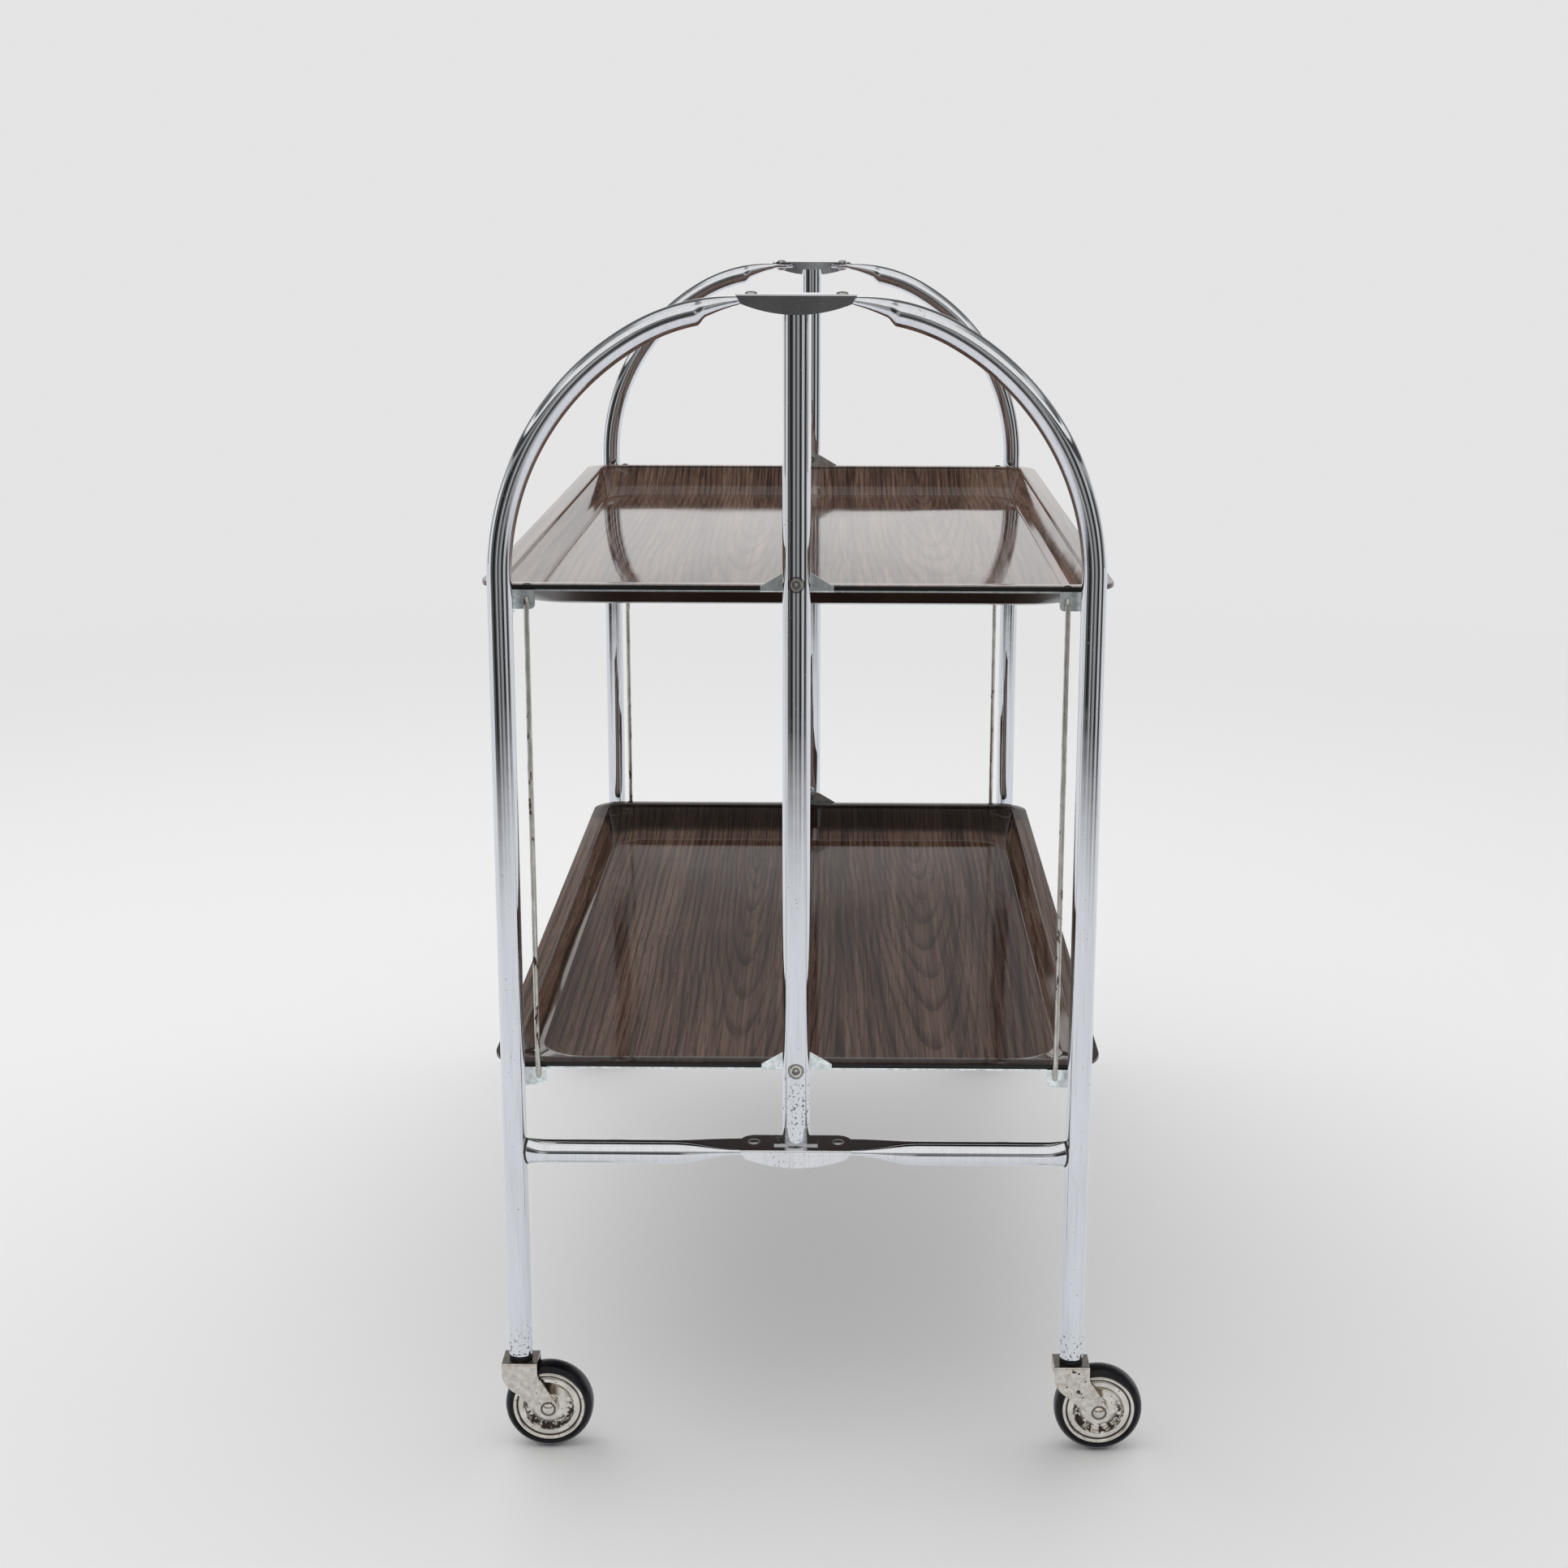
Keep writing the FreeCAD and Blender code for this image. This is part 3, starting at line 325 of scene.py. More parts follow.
zinc = plating("zinc sheet", (0.92, 0.96, 0.95), (0.58, 0.63, 0.62), (0.14, 0.11, 0.08), 260, 0.72, 0.20)
rod_zinc = plating("zinc rod", (0.68, 0.66, 0.60), (0.44, 0.42, 0.37), (0.06, 0.032, 0.018), 190, 0.60, 0.24,
                   stretch=(1, 1, 0.35))
nickel = plating("worn nickel", (0.70, 0.65, 0.59), (0.50, 0.455, 0.40), (0.05, 0.03, 0.022), 190, 0.64,
                 0.16, axle=True)
rivet = plating("bright rivet", (0.66, 0.65, 0.62), (0.42, 0.41, 0.38), (0.10, 0.07, 0.05), 500, 0.68, 0.18)
dark_rivet = plating("dark rivet", (0.20, 0.17, 0.15), (0.10, 0.08, 0.07), (0.03, 0.02, 0.02), 500, 0.62,
                     0.30)
print("platings", [m.name for m in (zinc, rod_zinc, nickel, rivet, dark_rivet)])

# %% The tray pivots: a ring of painted shade round a bright middle
def pivot_metal():
    finish = Finish("pivot rivet")
    x, _, z = finish.axes()
    hollow = 0.0021
    # ring is painted shade round the edge of the rivet's hollow
    ring = finish.from_pivot(x, z).line(hollow, 0.0003, 0.0008)
    scuff = finish.noise(500, 3).smooth(0.4, 0.6)
    clean = finish.mix(scuff, (0.74, 0.72, 0.66), (0.50, 0.48, 0.43))
    finish.wear(Base_Color=finish.mix(ring * 0.85, clean, (0.03, 0.026, 0.022)))
    finish.wear(Metallic=1 - ring * 0.5, Roughness=scuff * 0.12 + 0.2)
    finish.bump(scuff, 0.3, 0.0001)
    return finish.material


pivot_rivet = pivot_metal()
print("pivots", pivot_rivet.name)

# %% [markdown]
# ## Finishes: the worn wheel disc
#
# The nickel of a disc chips in one place, on the shoulder of its dish, where grit is thrown against it.
# The groove behind the bead is darker. Both follow circles round the axle, and an object's own
# coordinates don't know where the axle is. So each disc keeps an attribute, "about", with every point's
# place from its axle.

# %% Chips on a circle
GROOVE = 0.0216            # radius of the groove behind the bead, in metres


def worn_disc():
    finish = Finish("worn disc")
    about = finish.make("ShaderNodeAttribute", {"attribute_name": "about"}, {}, output="Vector")
    ax, _, az = finish.split(about)
    radius = from_axis(ax, az)
    shoulder = radius.smooth(0.0105, 0.0142) * (1 - radius.smooth(0.0170, 0.0180))
    shoulder = shoulder * (1 - az.smooth(-0.002, 0.011))
    flake = finish.noise(300, 4, rough=0.6)
    chip = (flake + finish.noise(80, 2) * 0.5).smooth(0.72, 0.75) * shoulder
    speck = finish.noise(620, 1).smooth(0.70, 0.73)
    chip = chip.most(speck * 0.8)
    # groove makes the nickel darker in the groove behind the bead
    groove = radius.line(GROOVE, 0.0003, 0.0009)
    clean = finish.mix(finish.noise(120, 3).smooth(0.35, 0.65), (0.74, 0.70, 0.63), (0.60, 0.56, 0.50))
    groove_darker = finish.mix(groove * 0.75, clean, (0.07, 0.055, 0.045))
    finish.wear(Base_Color=finish.mix(chip, groove_darker, (0.045, 0.026, 0.020)))
    finish.wear(Metallic=1 - chip * 0.9)
    finish.wear(Roughness=chip * 0.4 + groove * 0.2 + finish.noise(200, 3) * 0.10 + 0.12)
    finish.bump(chip * -1, 0.5, 0.00015)
    return finish.material


disc_nickel = worn_disc()
print("disc", len(disc_nickel.node_tree.nodes), "nodes")

# %% [markdown]
# ## Finishes: rubber and the black bush
#
# The tyres are black rubber, greyed where they have rolled, and the bushes under the legs are black plastic.
# Both are dark and rough, so their relief carries them: a fine pebble, and dust that lightens them
# in patches.

# %% Rubber and black plastic
def black(name, tint, dust, amount, shine):
    finish = Finish(name)
    pebble = finish.noise(900, 2)
    cloud = finish.noise(70, 3).smooth(0.45, 0.75) * amount
    finish.wear(Base_Color=finish.mix(cloud, tint, dust))
    finish.wear(Roughness=pebble * 0.15 + cloud * 0.25 + shine)
    finish.wear(IOR=1.3)
    finish.bump(pebble, 0.35, 0.00012)
    return finish.material


rubber = black("tyre rubber", (0.004, 0.004, 0.006), (0.030, 0.028, 0.030), 0.3, 0.20)
bush = black("black bush", (0.003, 0.003, 0.003), (0.02, 0.016, 0.012), 0.3, 0.24)
print("blacks", rubber.name, "and", bush.name)

# %% [markdown]
# ## Finishes: polished wood laminate
#
# The trays are pressed plywood with a rosewood laminate under a high gloss. Its grain runs along the tray.
# A board sawn through a log shows nested arches where the saw passed near the heart, and straight lines
# at the sides.
# The same picture comes from distance: rings about a heart line that dives slowly out of the board.
# Two hearts side by side, warped by noise, give the two figures of this laminate. Streaks, fibres and pores
# lie over them. The pressed ends of the lower tray are darkened with painted shade, cut edges are black, and
# the undersides are dark board, partly their own colour and partly painted shade, which the mesh of a tray
# marks with an attribute, "below".

# %% The figure of the wood
# PORE_AND_SHADE colours the pores, and also the painted shade on the lower tray's ends
PORE_AND_SHADE = (0.012, 0.007, 0.005)


def laminate(name):
    finish = Finish(name)
    x, y, z = finish.axes()
    bend = finish.noise(2.6, 2, stretch=(2.2, 1, 1)) - 0.5
    shake = finish.noise(20, 3, stretch=(3, 0.6, 1)) - 0.5
    across = x + bend * 0.022 + shake * 0.004

    def rings(heart, end, dive):
        return from_axis(across - heart, (y - end + bend * 0.15) * dive)

    left, right = rings(-0.046, 0.30, 0.050), rings(0.098, 0.42, 0.060)
    away = left.maths("SMOOTH_MIN", left, right)
    away.socket.node.inputs[2].default_value = 0.012
    turn = away ** 0.72 * 118 + bend * 1.6
    ring = turn.maths("FRACT", turn, 0.0)
    late = ring.smooth(0.50, 0.94) * (1 - ring.smooth(0.95, 1.0)) * finish.noise(11, 2).smooth(0.28, 0.46)
    tone = finish.noise(13, 3, stretch=(3.4, 0.16, 0.5), rough=0.6).smooth(0.32, 0.68)
    streak = finish.noise(230, 3, stretch=(1, 0.010, 0.1), rough=0.6).smooth(0.34, 0.66)
    fibre = finish.noise(700, 2, stretch=(1, 0.010, 0.1), rough=0.6)
    pore = finish.noise(1000, 1, stretch=(1, 0.03, 0.1)).smooth(0.62, 0.70)
    shade = tone * 0.32 + streak * 0.20 + fibre.smooth(0.30, 0.70) * 0.34 - late * 0.31 + 0.14
    wood = shade.ramp([(0.0, (0.022, 0.012, 0.009)), (0.28, (0.058, 0.031, 0.022)),
                       (0.50, (0.106, 0.061, 0.044)), (0.72, (0.165, 0.100, 0.074)),
                       (1.0, (0.240, 0.156, 0.118))])
    wood = finish.mix(pore * 0.6, wood, PORE_AND_SHADE)
    # Painted shade: the pressed ends of the lower tray, under the upper tray, are darkened towards the pore
    # colour
    lower_tray_shade = z.smooth(0.2515, 0.2535) * (1 - z.smooth(0.3, 0.4))
    wood = finish.mix(abs(y).smooth(0.290, 0.302) * lower_tray_shade * 0.78, wood, PORE_AND_SHADE)
    return finish, wood, fibre, (x, y)


# %% The gloss and the dark edge
def cut_edge(across, half):
    """1 on the last half millimetre before a tray's rim."""
    return abs(across).smooth(half * MM - 0.0008, half * MM - 0.0004)


def tray_finish():
    finish, wood, fibre, (x, y) = laminate("rosewood laminate")
    edge = cut_edge(x, TRAY_X).most(cut_edge(y, TRAY_Y))
    below = finish.make("ShaderNodeAttribute", {"attribute_name": "below"}, {}, output="Fac")
    # The undersides are darker: partly the board's own colour, partly painted shade
    shown = finish.mix(below, wood, (0.030, 0.018, 0.014))
    finish.wear(Base_Color=finish.mix(edge, shown, (0.006, 0.005, 0.005)), Metallic=below * 0.75)
    rub = finish.noise(9, 4).smooth(0.4, 0.8)
    finish.wear(Roughness=rub * 0.045 + edge * 0.25 + below * 0.15 + 0.045)
    finish.wear(IOR=1.42)
    finish.bump(finish.noise(16, 2) + fibre * 0.010, 0.12, 0.0006)
    return finish.material


wood = tray_finish()
print("laminate", wood.name, len(wood.node_tree.nodes), "nodes")

# %% [markdown]
# ## From points to a piece
#
# Most pieces here are skins: a row of rings with the same number of points, joined into quads,
# with a cap at each end.
# A bent tube, a pressed tray and a crossbar are all rings in a row, so one helper serves them.
# A second helper turns an outline about the axle, for tyres and discs.
# Then the object is made: doubles merged, normals outward, edges sharp only where they really are.
# It takes its finish and rides on its body, and it stands for the solids that it replaces.

# %% Skin and lathe
def skin(rings, caps=True, whole=True):
    """Quads between neighbouring rings. A ring that isn't whole stays open after its last point."""
    count = len(rings[0])
    points = [point for ring in rings for point in ring]
    faces = []
    for row in range(len(rings) - 1):
        for i in range(count if whole else count - 1):
            j = (i + 1) % count
            faces.append((row * count + i, row * count + j, (row + 1) * count + j, (row + 1) * count + i))
    if caps:
        faces.append(tuple(range(count)))
        faces.append(tuple(range(len(points) - count, len(points))))
    return points, faces


def lathe(outline, centre, count=128):
    """A closed outline of (radius, half width) turned about an axis through a point along Y."""
    rings = []
    for step in range(count):
        angle = math.tau * step / count
        rings.append([(centre[0] + r * math.cos(angle), centre[1] + w, centre[2] + r * math.sin(angle))
                      for r, w in outline])
    return skin(rings + [rings[0]], caps=False)


# %% The object itself
def closed(name, shape):
    """An object from points in millimetres: doubles merged, no empty faces, normals outward."""
    points, faces = shape
    mesh = bpy.data.meshes.new(name)
    mesh.from_pydata([[c * MM for c in point] for point in points], [], faces)
    work = bmesh.new()
    work.from_mesh(mesh)
    bmesh.ops.remove_doubles(work, verts=work.verts, dist=2e-6)
    bmesh.ops.dissolve_degenerate(work, edges=work.edges, dist=1e-7)
    bmesh.ops.recalc_face_normals(work, faces=work.faces)
    if work.calc_volume(signed=True) < 0:
        bmesh.ops.reverse_faces(work, faces=work.faces)
    work.to_mesh(mesh)
    work.free()
    thing = bpy.data.objects.new(name, mesh)
    bpy.context.scene.collection.objects.link(thing)
    return thing


# %% Its finish, its body and the marks that a finish reads
def mark(thing, name, kind, value_of):
    """Keep a value for every point of a mesh, for its finish to read."""
    kept_as = "vector" if kind == "FLOAT_VECTOR" else "value"
    values = thing.data.attributes.new(name, kind, "POINT").data
    for vertex, value in zip(thing.data.vertices, values):
        setattr(value, kept_as, value_of(vertex))


def finished(thing, body, material, slot, *nodes, sharp=40.0):
    """Smooth its faces, give it its finish, and set it on its body in place of its solids."""
    thing.data.shade_smooth()
    thing.data.set_sharp_from_angle(angle=math.radians(sharp))
    thing.data.materials.clear()
    thing.data.materials.append(material)
    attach(thing, body)
    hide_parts(*nodes)
    return thing


def piece(name, shape, body, material, slot, *nodes, sharp=40.0):
    return finished(closed(name, shape), body, material, slot, *nodes, sharp=sharp)


def at_corner(points, corner):
    """Points of the front right corner moved to another one. Left and rear are mirror images."""
    sx, sy = CORNERS[corner]
    return [(x * sx, y * sy, z) for x, y, z in points]


print("corners", [at_corner([(1, -1, 0)], corner) for corner in CORNERS])

# %% [markdown]
# ## Wing tubes
#
# Each wing is one tube: a straight leg, a wide bend and a tighter one, and a last stretch pressed flat
# for its hinge.
# A curve with a round bevel can't be pressed flat, so the tube is a skin of rings along the same path.
# Pressing keeps the length round a ring, because the steel only folds. The ring goes from a circle
# to a slot-like outline: two straight flats and two half circles. It is pressed from below only,
# so its upper side runs on smoothly. It thins quickly at a kink, then slowly as far as the bracket.
# At the hinge the flat end is turned about its rivet, as on the real one.

# %% One ring, pressed to any thickness
RING = 56
FLAT_WIDE = 11.4           # half the width of a tube end pressed flat


def pressed(half):
    """Points (side, up) round a tube pressed to a half thickness."""
    flat = math.pi * (TUBE_R - half) / 2
    bow = math.pi * half
    ring = []
    for i in range(RING):
        s = math.tau * TUBE_R * i / RING
        if s < flat:
            ring.append((s, half))
        elif s < flat + bow:
            a = (s - flat) / half
            ring.append((flat + half * math.sin(a), half * math.cos(a)))
        elif s < 3 * flat + bow:
            ring.append((2 * flat + bow - s, -half))
        elif s < 3 * flat + 2 * bow:
            a = (s - 3 * flat - bow) / half
            ring.append((-flat - half * math.sin(a), -half * math.cos(a)))
        else:
            ring.append((s - math.tau * TUBE_R, half))
    return ring


def ring_at(centre, outward, half, bow=0.0):
    """A ring about a point of the end frame. outward is its upper side, and bow how far its edges hang."""
    ring = []
    for side, up in pressed(half):
        up = up - bow * (side / FLAT_WIDE) ** 2
        ring.append((centre[0] + outward[0] * up, -END_Y + side, centre[1] + outward[1] * up))
    return ring


print("width pressed flat", round(2 * max(side for side, _ in pressed(FLAT_HALF)), 2), "mm")

# %% The round nose about the rivet
def nose(centre_z, steps=24):
    """Rings that turn the flat end about the rivet's axis."""
    half_ring = pressed(FLAT_HALF)[: RING // 2 + 1]
    rings = []
    for step in range(steps + 1):
        a = math.pi * step / steps
        rings.append([(HINGE_X - side * math.sin(a), -END_Y + side * math.cos(a), centre_z + up)
                      for side, up in half_ring])
    return skin(rings, caps=False, whole=False)


def joined(first, second):
    shift = len(first[0])
    return first[0] + second[0], first[1] + [tuple(i + shift for i in face) for face in second[1]]


def eased(t):
    return t * t * (3 - 2 * t)


def falling(value, start, stop):
    """0 until a falling value passes start, 1 once it is below stop."""
    return min(1.0, max(0.0, (start - value) / (start - stop)))


print("nose", len(nose(0.0)[1]), "faces")

# %% The path of a wing
LEG_BOTTOM = 67.0
ARCH_X, ARCH_Z = 13.5, 599.0       # centre of the wide bend
FLAT_Z = 772.5                     # middle of a wing's flat end
KINK, KINK_END = 25.0, 17.0        # where the pressing starts and where the kink ends, out from the flat
KINK_HALF, EDGE_HALF = 5.5, 2.8    # half the thickness after the kink and where the flat begins


def wing():
    wide, run, end_z = LEG_X - ARCH_X, FLAT_X - ARCH_X, FLAT_Z + FLAT_HALF - TUBE_R
    turn = math.pi / 2 - 2 * math.atan((ARCH_Z + wide - end_z) / run)
    tight = wide - run / math.cos(turn)
    heights = (LEG_BOTTOM, LEG_BOTTOM + 0.6, 120, 300, 480, ARCH_Z)
    rings = [ring_at((LEG_X, z), (1, 0), TUBE_R) for z in heights]
    for step in range(1, 41):
        a = turn * step / 40
        rings.append(ring_at((ARCH_X + wide * math.cos(a), ARCH_Z + wide * math.sin(a)),
                             (math.cos(a), math.sin(a)), TUBE_R))
    for step in range(1, 61):
        a = turn + (math.pi / 2 - turn) * step / 60
        out = tight * math.cos(a)
        kink, thinning = eased(falling(out, KINK, KINK_END)), falling(out, KINK_END, 0.0)
        half = TUBE_R - (TUBE_R - KINK_HALF) * kink - (KINK_HALF - EDGE_HALF) * thinning
        reach = tight + TUBE_R - half
        centre = (FLAT_X + reach * math.cos(a), end_z - tight + reach * math.sin(a))
        rings.append(ring_at(centre, (math.cos(a), math.sin(a)), half, 0.8 * kink - 0.3 * thinning))
    for step in range(1, 7):
        half = EDGE_HALF + (FLAT_HALF - EDGE_HALF) * eased(step / 6)
        rings.append(ring_at((FLAT_X - step, FLAT_Z + FLAT_HALF - half), (0, 1), half, 0.5 - 0.5 * step / 6))
    rings.append(ring_at((HINGE_X, FLAT_Z), (0, 1), FLAT_HALF))
    points, faces = skin(rings)
    return joined((points, faces[:-1]), nose(FLAT_Z))


for corner in CORNERS:
    points, faces = wing()
    piece(corner + "_bent_tube", (at_corner(points, corner), faces), corner + "_wing", chrome,
          "chrome_tube", corner + "_wing_tube", sharp=50)
print("wing tubes", len(faces), "faces each")

# %% [markdown]
# ## Crossbars
#
# The crossbar joins its leg in a saddle, and it is pressed flat at the bottom bracket.
# Its end is pinched to a tall oval first, so that the joint with the leg stays short.
# It is the same skin of rings: the first ring is bent to the leg, and the axis lifts a little
# as the tube flattens, so that its top comes level with the underside of the plate.

# %% Rings from the leg to the hinge
BAR_Z, BAR_FLAT_Z = 213.5, 217.5   # a crossbar's axis, and the middle of its flat end
ROUND_X, SQUASH = 164.0, 44.0      # where the pinch has ended, and the length of the flattening


def bar():
    rings = []
    for pinch, back in ((1.0, 0.0), (0.97, 1.0), (0.8, 3.0), (0.5, 5.5), (0.2, 8.5), (0.05, 11.0)):
        ring = []
        for side, up in pressed(TUBE_R):
            side, up = side * (1 - 0.36 * pinch), up * (1 + 0.14 * pinch)
            reach = math.sqrt(TUBE_R ** 2 - side ** 2) * pinch + TUBE_R * (1 - pinch)
            ring.append((LEG_X - reach - back, -END_Y + side, BAR_Z + up))
        rings.append(ring)
    rings.append(ring_at((ROUND_X, BAR_Z), (0, 1), TUBE_R))
    for step in range(25):
        t = step / 24
        rise = BAR_Z + (BAR_FLAT_Z - BAR_Z) * eased(t)
        rings.append(ring_at((FLAT_X + SQUASH * (1 - t), rise), (0, 1),
                             TUBE_R + (FLAT_HALF - TUBE_R) * eased(t)))
    rings.append(ring_at((HINGE_X, BAR_FLAT_Z), (0, 1), FLAT_HALF))
    points, faces = skin(rings)
    return joined((points, faces[:-1]), nose(BAR_FLAT_Z))


for corner in CORNERS:
    points, faces = bar()
    piece(corner + "_saddled_bar", (at_corner(points, corner), faces), corner + "_wing", brazed,
          "chrome_tube", corner + "_crossbar", sharp=50)
print("crossbars", len(faces), "faces each")

# %% [markdown]
# ## Trays
#
# A tray is plywood pressed in a mould: a flat lip, a small step, walls that fall steeply at the sides
# and in two easy slopes at the ends, and a flat floor. Nothing on it is sharp but the rim.
# Each level of it is a rectangle with round corners, so the tray is a skin once more.
# The floor isn't quite flat: pressed plywood springs back to a low crown, which bends whatever it reflects.
# A tray's section is a short list of corners, each rounded by its own amount with a small quadratic curve.

# %% Corners of the section, rounded
# One row for each corner: inset from the side, inset from the end, depth, corner radius, rounding.
TOP = [(0.0, 0.0, 0.0, 27.0, 0.8), (13.0, 13.0, 0.0, 14.0, 1.4), (13.2, 13.3, 2.6, 14.0, 1.0),
       (20.6, 40.0, 15.0, 31.0, 2.5), (23.8, 66.0, 20.0, 33.0, 3.0), (34.0, 78.0, 20.0, 26.0, 0.0)]
UNDER = [(32.0, 76.0, 22.5, 26.0, 0.0), (22.3, 65.6, 22.5, 34.0, 3.0), (18.4, 38.9, 17.2, 32.0, 3.0),
         (9.9, 13.5, 2.8, 14.5, 1.2), (0.0, 0.0, 2.8, 27.0, 0.8)]


def rounded(rows, steps=6):
    """A closed walk over the rows with each corner eased by its rounding."""
    walk = []
    for i, row in enumerate(rows):
        here, ease = Vector(row[:4]), row[4]
        if ease == 0:
            walk.append(here)
            continue
        before, after = Vector(rows[i - 1][:4]), Vector(rows[(i + 1) % len(rows)][:4])
        back, on = before - here, after - here
        start = here + back * min(ease / back.length, 0.49)
        stop = here + on * min(ease / on.length, 0.49)
        for k in range(steps + 1):
            t = k / steps
            walk.append(start * (1 - t) ** 2 + here * (2 * t * (1 - t)) + stop * t ** 2)
    return walk


print("levels in a tray's section", len(rounded(TOP + UNDER)))

# %% Level rings, and the floor
def level(inset_x, inset_y, radius, z, steps=14):
    ring = []
    half_x, half_y = TRAY_X - inset_x, TRAY_Y - inset_y
    for sx, sy, start in ((1, 1, 0), (-1, 1, 90), (-1, -1, 180), (1, -1, 270)):
        cx, cy = sx * (half_x - radius), sy * (half_y - radius)
        for k in range(steps + 1):
            a = math.radians(start + 90 * k / steps)
            ring.append((cx + radius * math.cos(a), cy + radius * math.sin(a), z))
    return ring


def crowned(row, z, crown=1.8, rings=12):
    """Rings of a floor from near its middle out to a row, raised most in the middle."""
    half_x, half_y, floor_rings = TRAY_X - row[0], TRAY_Y - row[1], []
    for k in range(1, rings):
        f = k / rings
        flat = level(TRAY_X - half_x * f, TRAY_Y - half_y * f, row[3] * f, z)
        floor_rings.append([(x, y, z + crown * (1 - (x / half_x) ** 2) * (1 - (y / half_y) ** 2))
                            for x, y, _ in flat])
    return floor_rings


def tray(top_z):
    order = list(reversed(TOP)) + list(reversed(UNDER))
    rings = [level(x, y, radius, top_z - deep) for x, y, deep, radius in rounded(order)]
    above, below = crowned(TOP[-1], top_z - TOP[-1][2]), crowned(UNDER[0], top_z - UNDER[0][2])
    return skin(above + rings + below[::-1])


for side in ("upper", "lower"):
    made = piece(side + "_pressed_tray", tray(PIVOT_Z[side] - LIP_DROP), side + "_tray", wood,
                 "wood_laminate", side + "_tray", sharp=60)
    mark(made, "below", "FLOAT", lambda vertex: 1.0 if vertex.normal.z < -0.05 else 0.0)

# %% [markdown]
# ## Casters
#
# The wheel is two pressed discs riveted round a hub: a bead at the rim, a flat ring, then a dish
# down to the hub.
# The tyre is stretched over the rim, round on its tread and pinched where it meets the bead.
# Both are outlines turned about the axle. Drawing half an outline and mirroring it keeps both faces alike.

# %% Turn the tyre and the disc
def both_faces(half):
    return half + [(r, -w) for r, w in reversed(half)]


# Each outline is a row of (radius, half width).
TYRE = both_faces([(24.75, 7.3), (25.2, 8.1), (26.0, 8.45), (27.0, 8.4), (27.6, 7.75), (28.0, 7.4),
                   (28.7, 6.6), (29.3, 5.4), (29.7, 3.8), (29.93, 2.0), (30.0, 0.6)])
DISC = both_faces([(2.6, 9.2), (5.3, 9.2), (5.9, 8.9), (6.1, 8.2), (6.5, 4.3), (7.3, 3.6), (8.5, 3.5),
                   (14.2, 3.5), (15.4, 3.9), (16.5, 5.6), (17.2, 6.7), (17.9, 6.95), (18.6, 6.8),
                   (20.4, 6.6), (21.2, 6.3), (21.7, 5.7), (22.1, 6.3), (22.5, 7.2), (23.2, 7.55),
                   (24.1, 7.5), (24.65, 7.1)])


def axle_at(corner):
    """Front casters trail to +X, and the rear end is the front turned half a turn."""
    sx, sy = CORNERS[corner]
    return (sx * LEG_X + sy * TRAIL, -sy * END_Y, WHEEL_R)


for corner in CORNERS:
    piece(corner + "_round_tyre", lathe(TYRE, axle_at(corner)), corner + "_wheel", rubber,
          "tyre_rubber", corner + "_tyre")
    made = piece(corner + "_pressed_disc", lathe(DISC, axle_at(corner)), corner + "_wheel", disc_nickel,
                 "worn_nickel", corner + "_wheel_disc")
    axle = Vector(axle_at(corner)) * MM
    mark(made, "about", "FLOAT_VECTOR", lambda vertex: vertex.co - axle)
print("wheels", len(made.data.polygons), "faces each disc")

# %% [markdown]
# ## Link rods, with Geometry Nodes
#
# Four thin rods keep the trays parallel. Each is bent back at both ends through a hole in the rails.
# A rod follows a path, which is what Geometry Nodes do well: corners become bends with Fillet Curve,
# and Curve to Mesh runs a circle along them. The radius and the bend are inputs of the tree.
# The result is read back as a plain mesh, because each rod rides on a body of its own.

# %% A tree with named inputs
def tree_with(name, inputs):
    tree = bpy.data.node_groups.new(name, "GeometryNodeTree")
    tree.interface.new_socket("Geometry", in_out="OUTPUT", socket_type="NodeSocketGeometry")
    for label, kind in [("Geometry", "NodeSocketGeometry")] + inputs:
        tree.interface.new_socket(label, in_out="INPUT", socket_type=kind)
    bench = Bench(tree)
    entry = tree.nodes.new("NodeGroupInput")
    doors = {s.name: Wire(bench, s) for s in entry.outputs if s.name}
    return bench, doors


def end_with(bench, geometry, material):
    """Every tree here ends in Realize Instances and Set Material."""
    real = bench.make("GeometryNodeRealizeInstances", {}, {0: geometry})
    done = bench.make("GeometryNodeSetMaterial", {}, {"Geometry": real, "Material": material})
    exit_node = bench.tree.nodes.new("NodeGroupOutput")
    bench.tree.links.new(done.socket, exit_node.inputs[0])
    return bench.tree


def grown(name, points, edges, tree, values):
    """Run a tree on loose points or edges and return the plain mesh as an object."""
    seed_mesh = bpy.data.meshes.new(name)
    seed_mesh.from_pydata([[c * MM for c in p] for p in points], edges, [])
    thing = bpy.data.objects.new(name, seed_mesh)
    bpy.context.scene.collection.objects.link(thing)
    modifier = thing.modifiers.new("grown", "NODES")
    modifier.node_group = tree
    for socket in tree.interface.items_tree:
        if socket.in_out == "INPUT" and socket.name in values:
            modifier[socket.identifier] = values[socket.name]
    made = bpy.data.meshes.new_from_object(thing.evaluated_get(bpy.context.evaluated_depsgraph_get()))
    thing.modifiers.remove(modifier)
    thing.data = made
    bpy.data.meshes.remove(seed_mesh)
    return thing


# %% The rod tree
bench, doors = tree_with("bent rod", [("Radius", "NodeSocketFloat"), ("Bend", "NodeSocketFloat")])
line = bench.make("GeometryNodeMeshToCurve", {}, {"Mesh": doors["Geometry"]})
bent = bench.make("GeometryNodeFilletCurve", {"mode": "POLY"},
                  {"Curve": line, "Count": 12, "Radius": doors["Bend"], "Limit Radius": True})
ring = bench.make("GeometryNodeCurvePrimitiveCircle", {}, {"Resolution": 20, "Radius": doors["Radius"]})
swept = bench.make("GeometryNodeCurveToMesh", {}, {"Curve": bent, "Profile Curve": ring, "Fill Caps": True})
rod_tree = end_with(bench, swept, rod_zinc)
print("rod tree takes", list(doors))

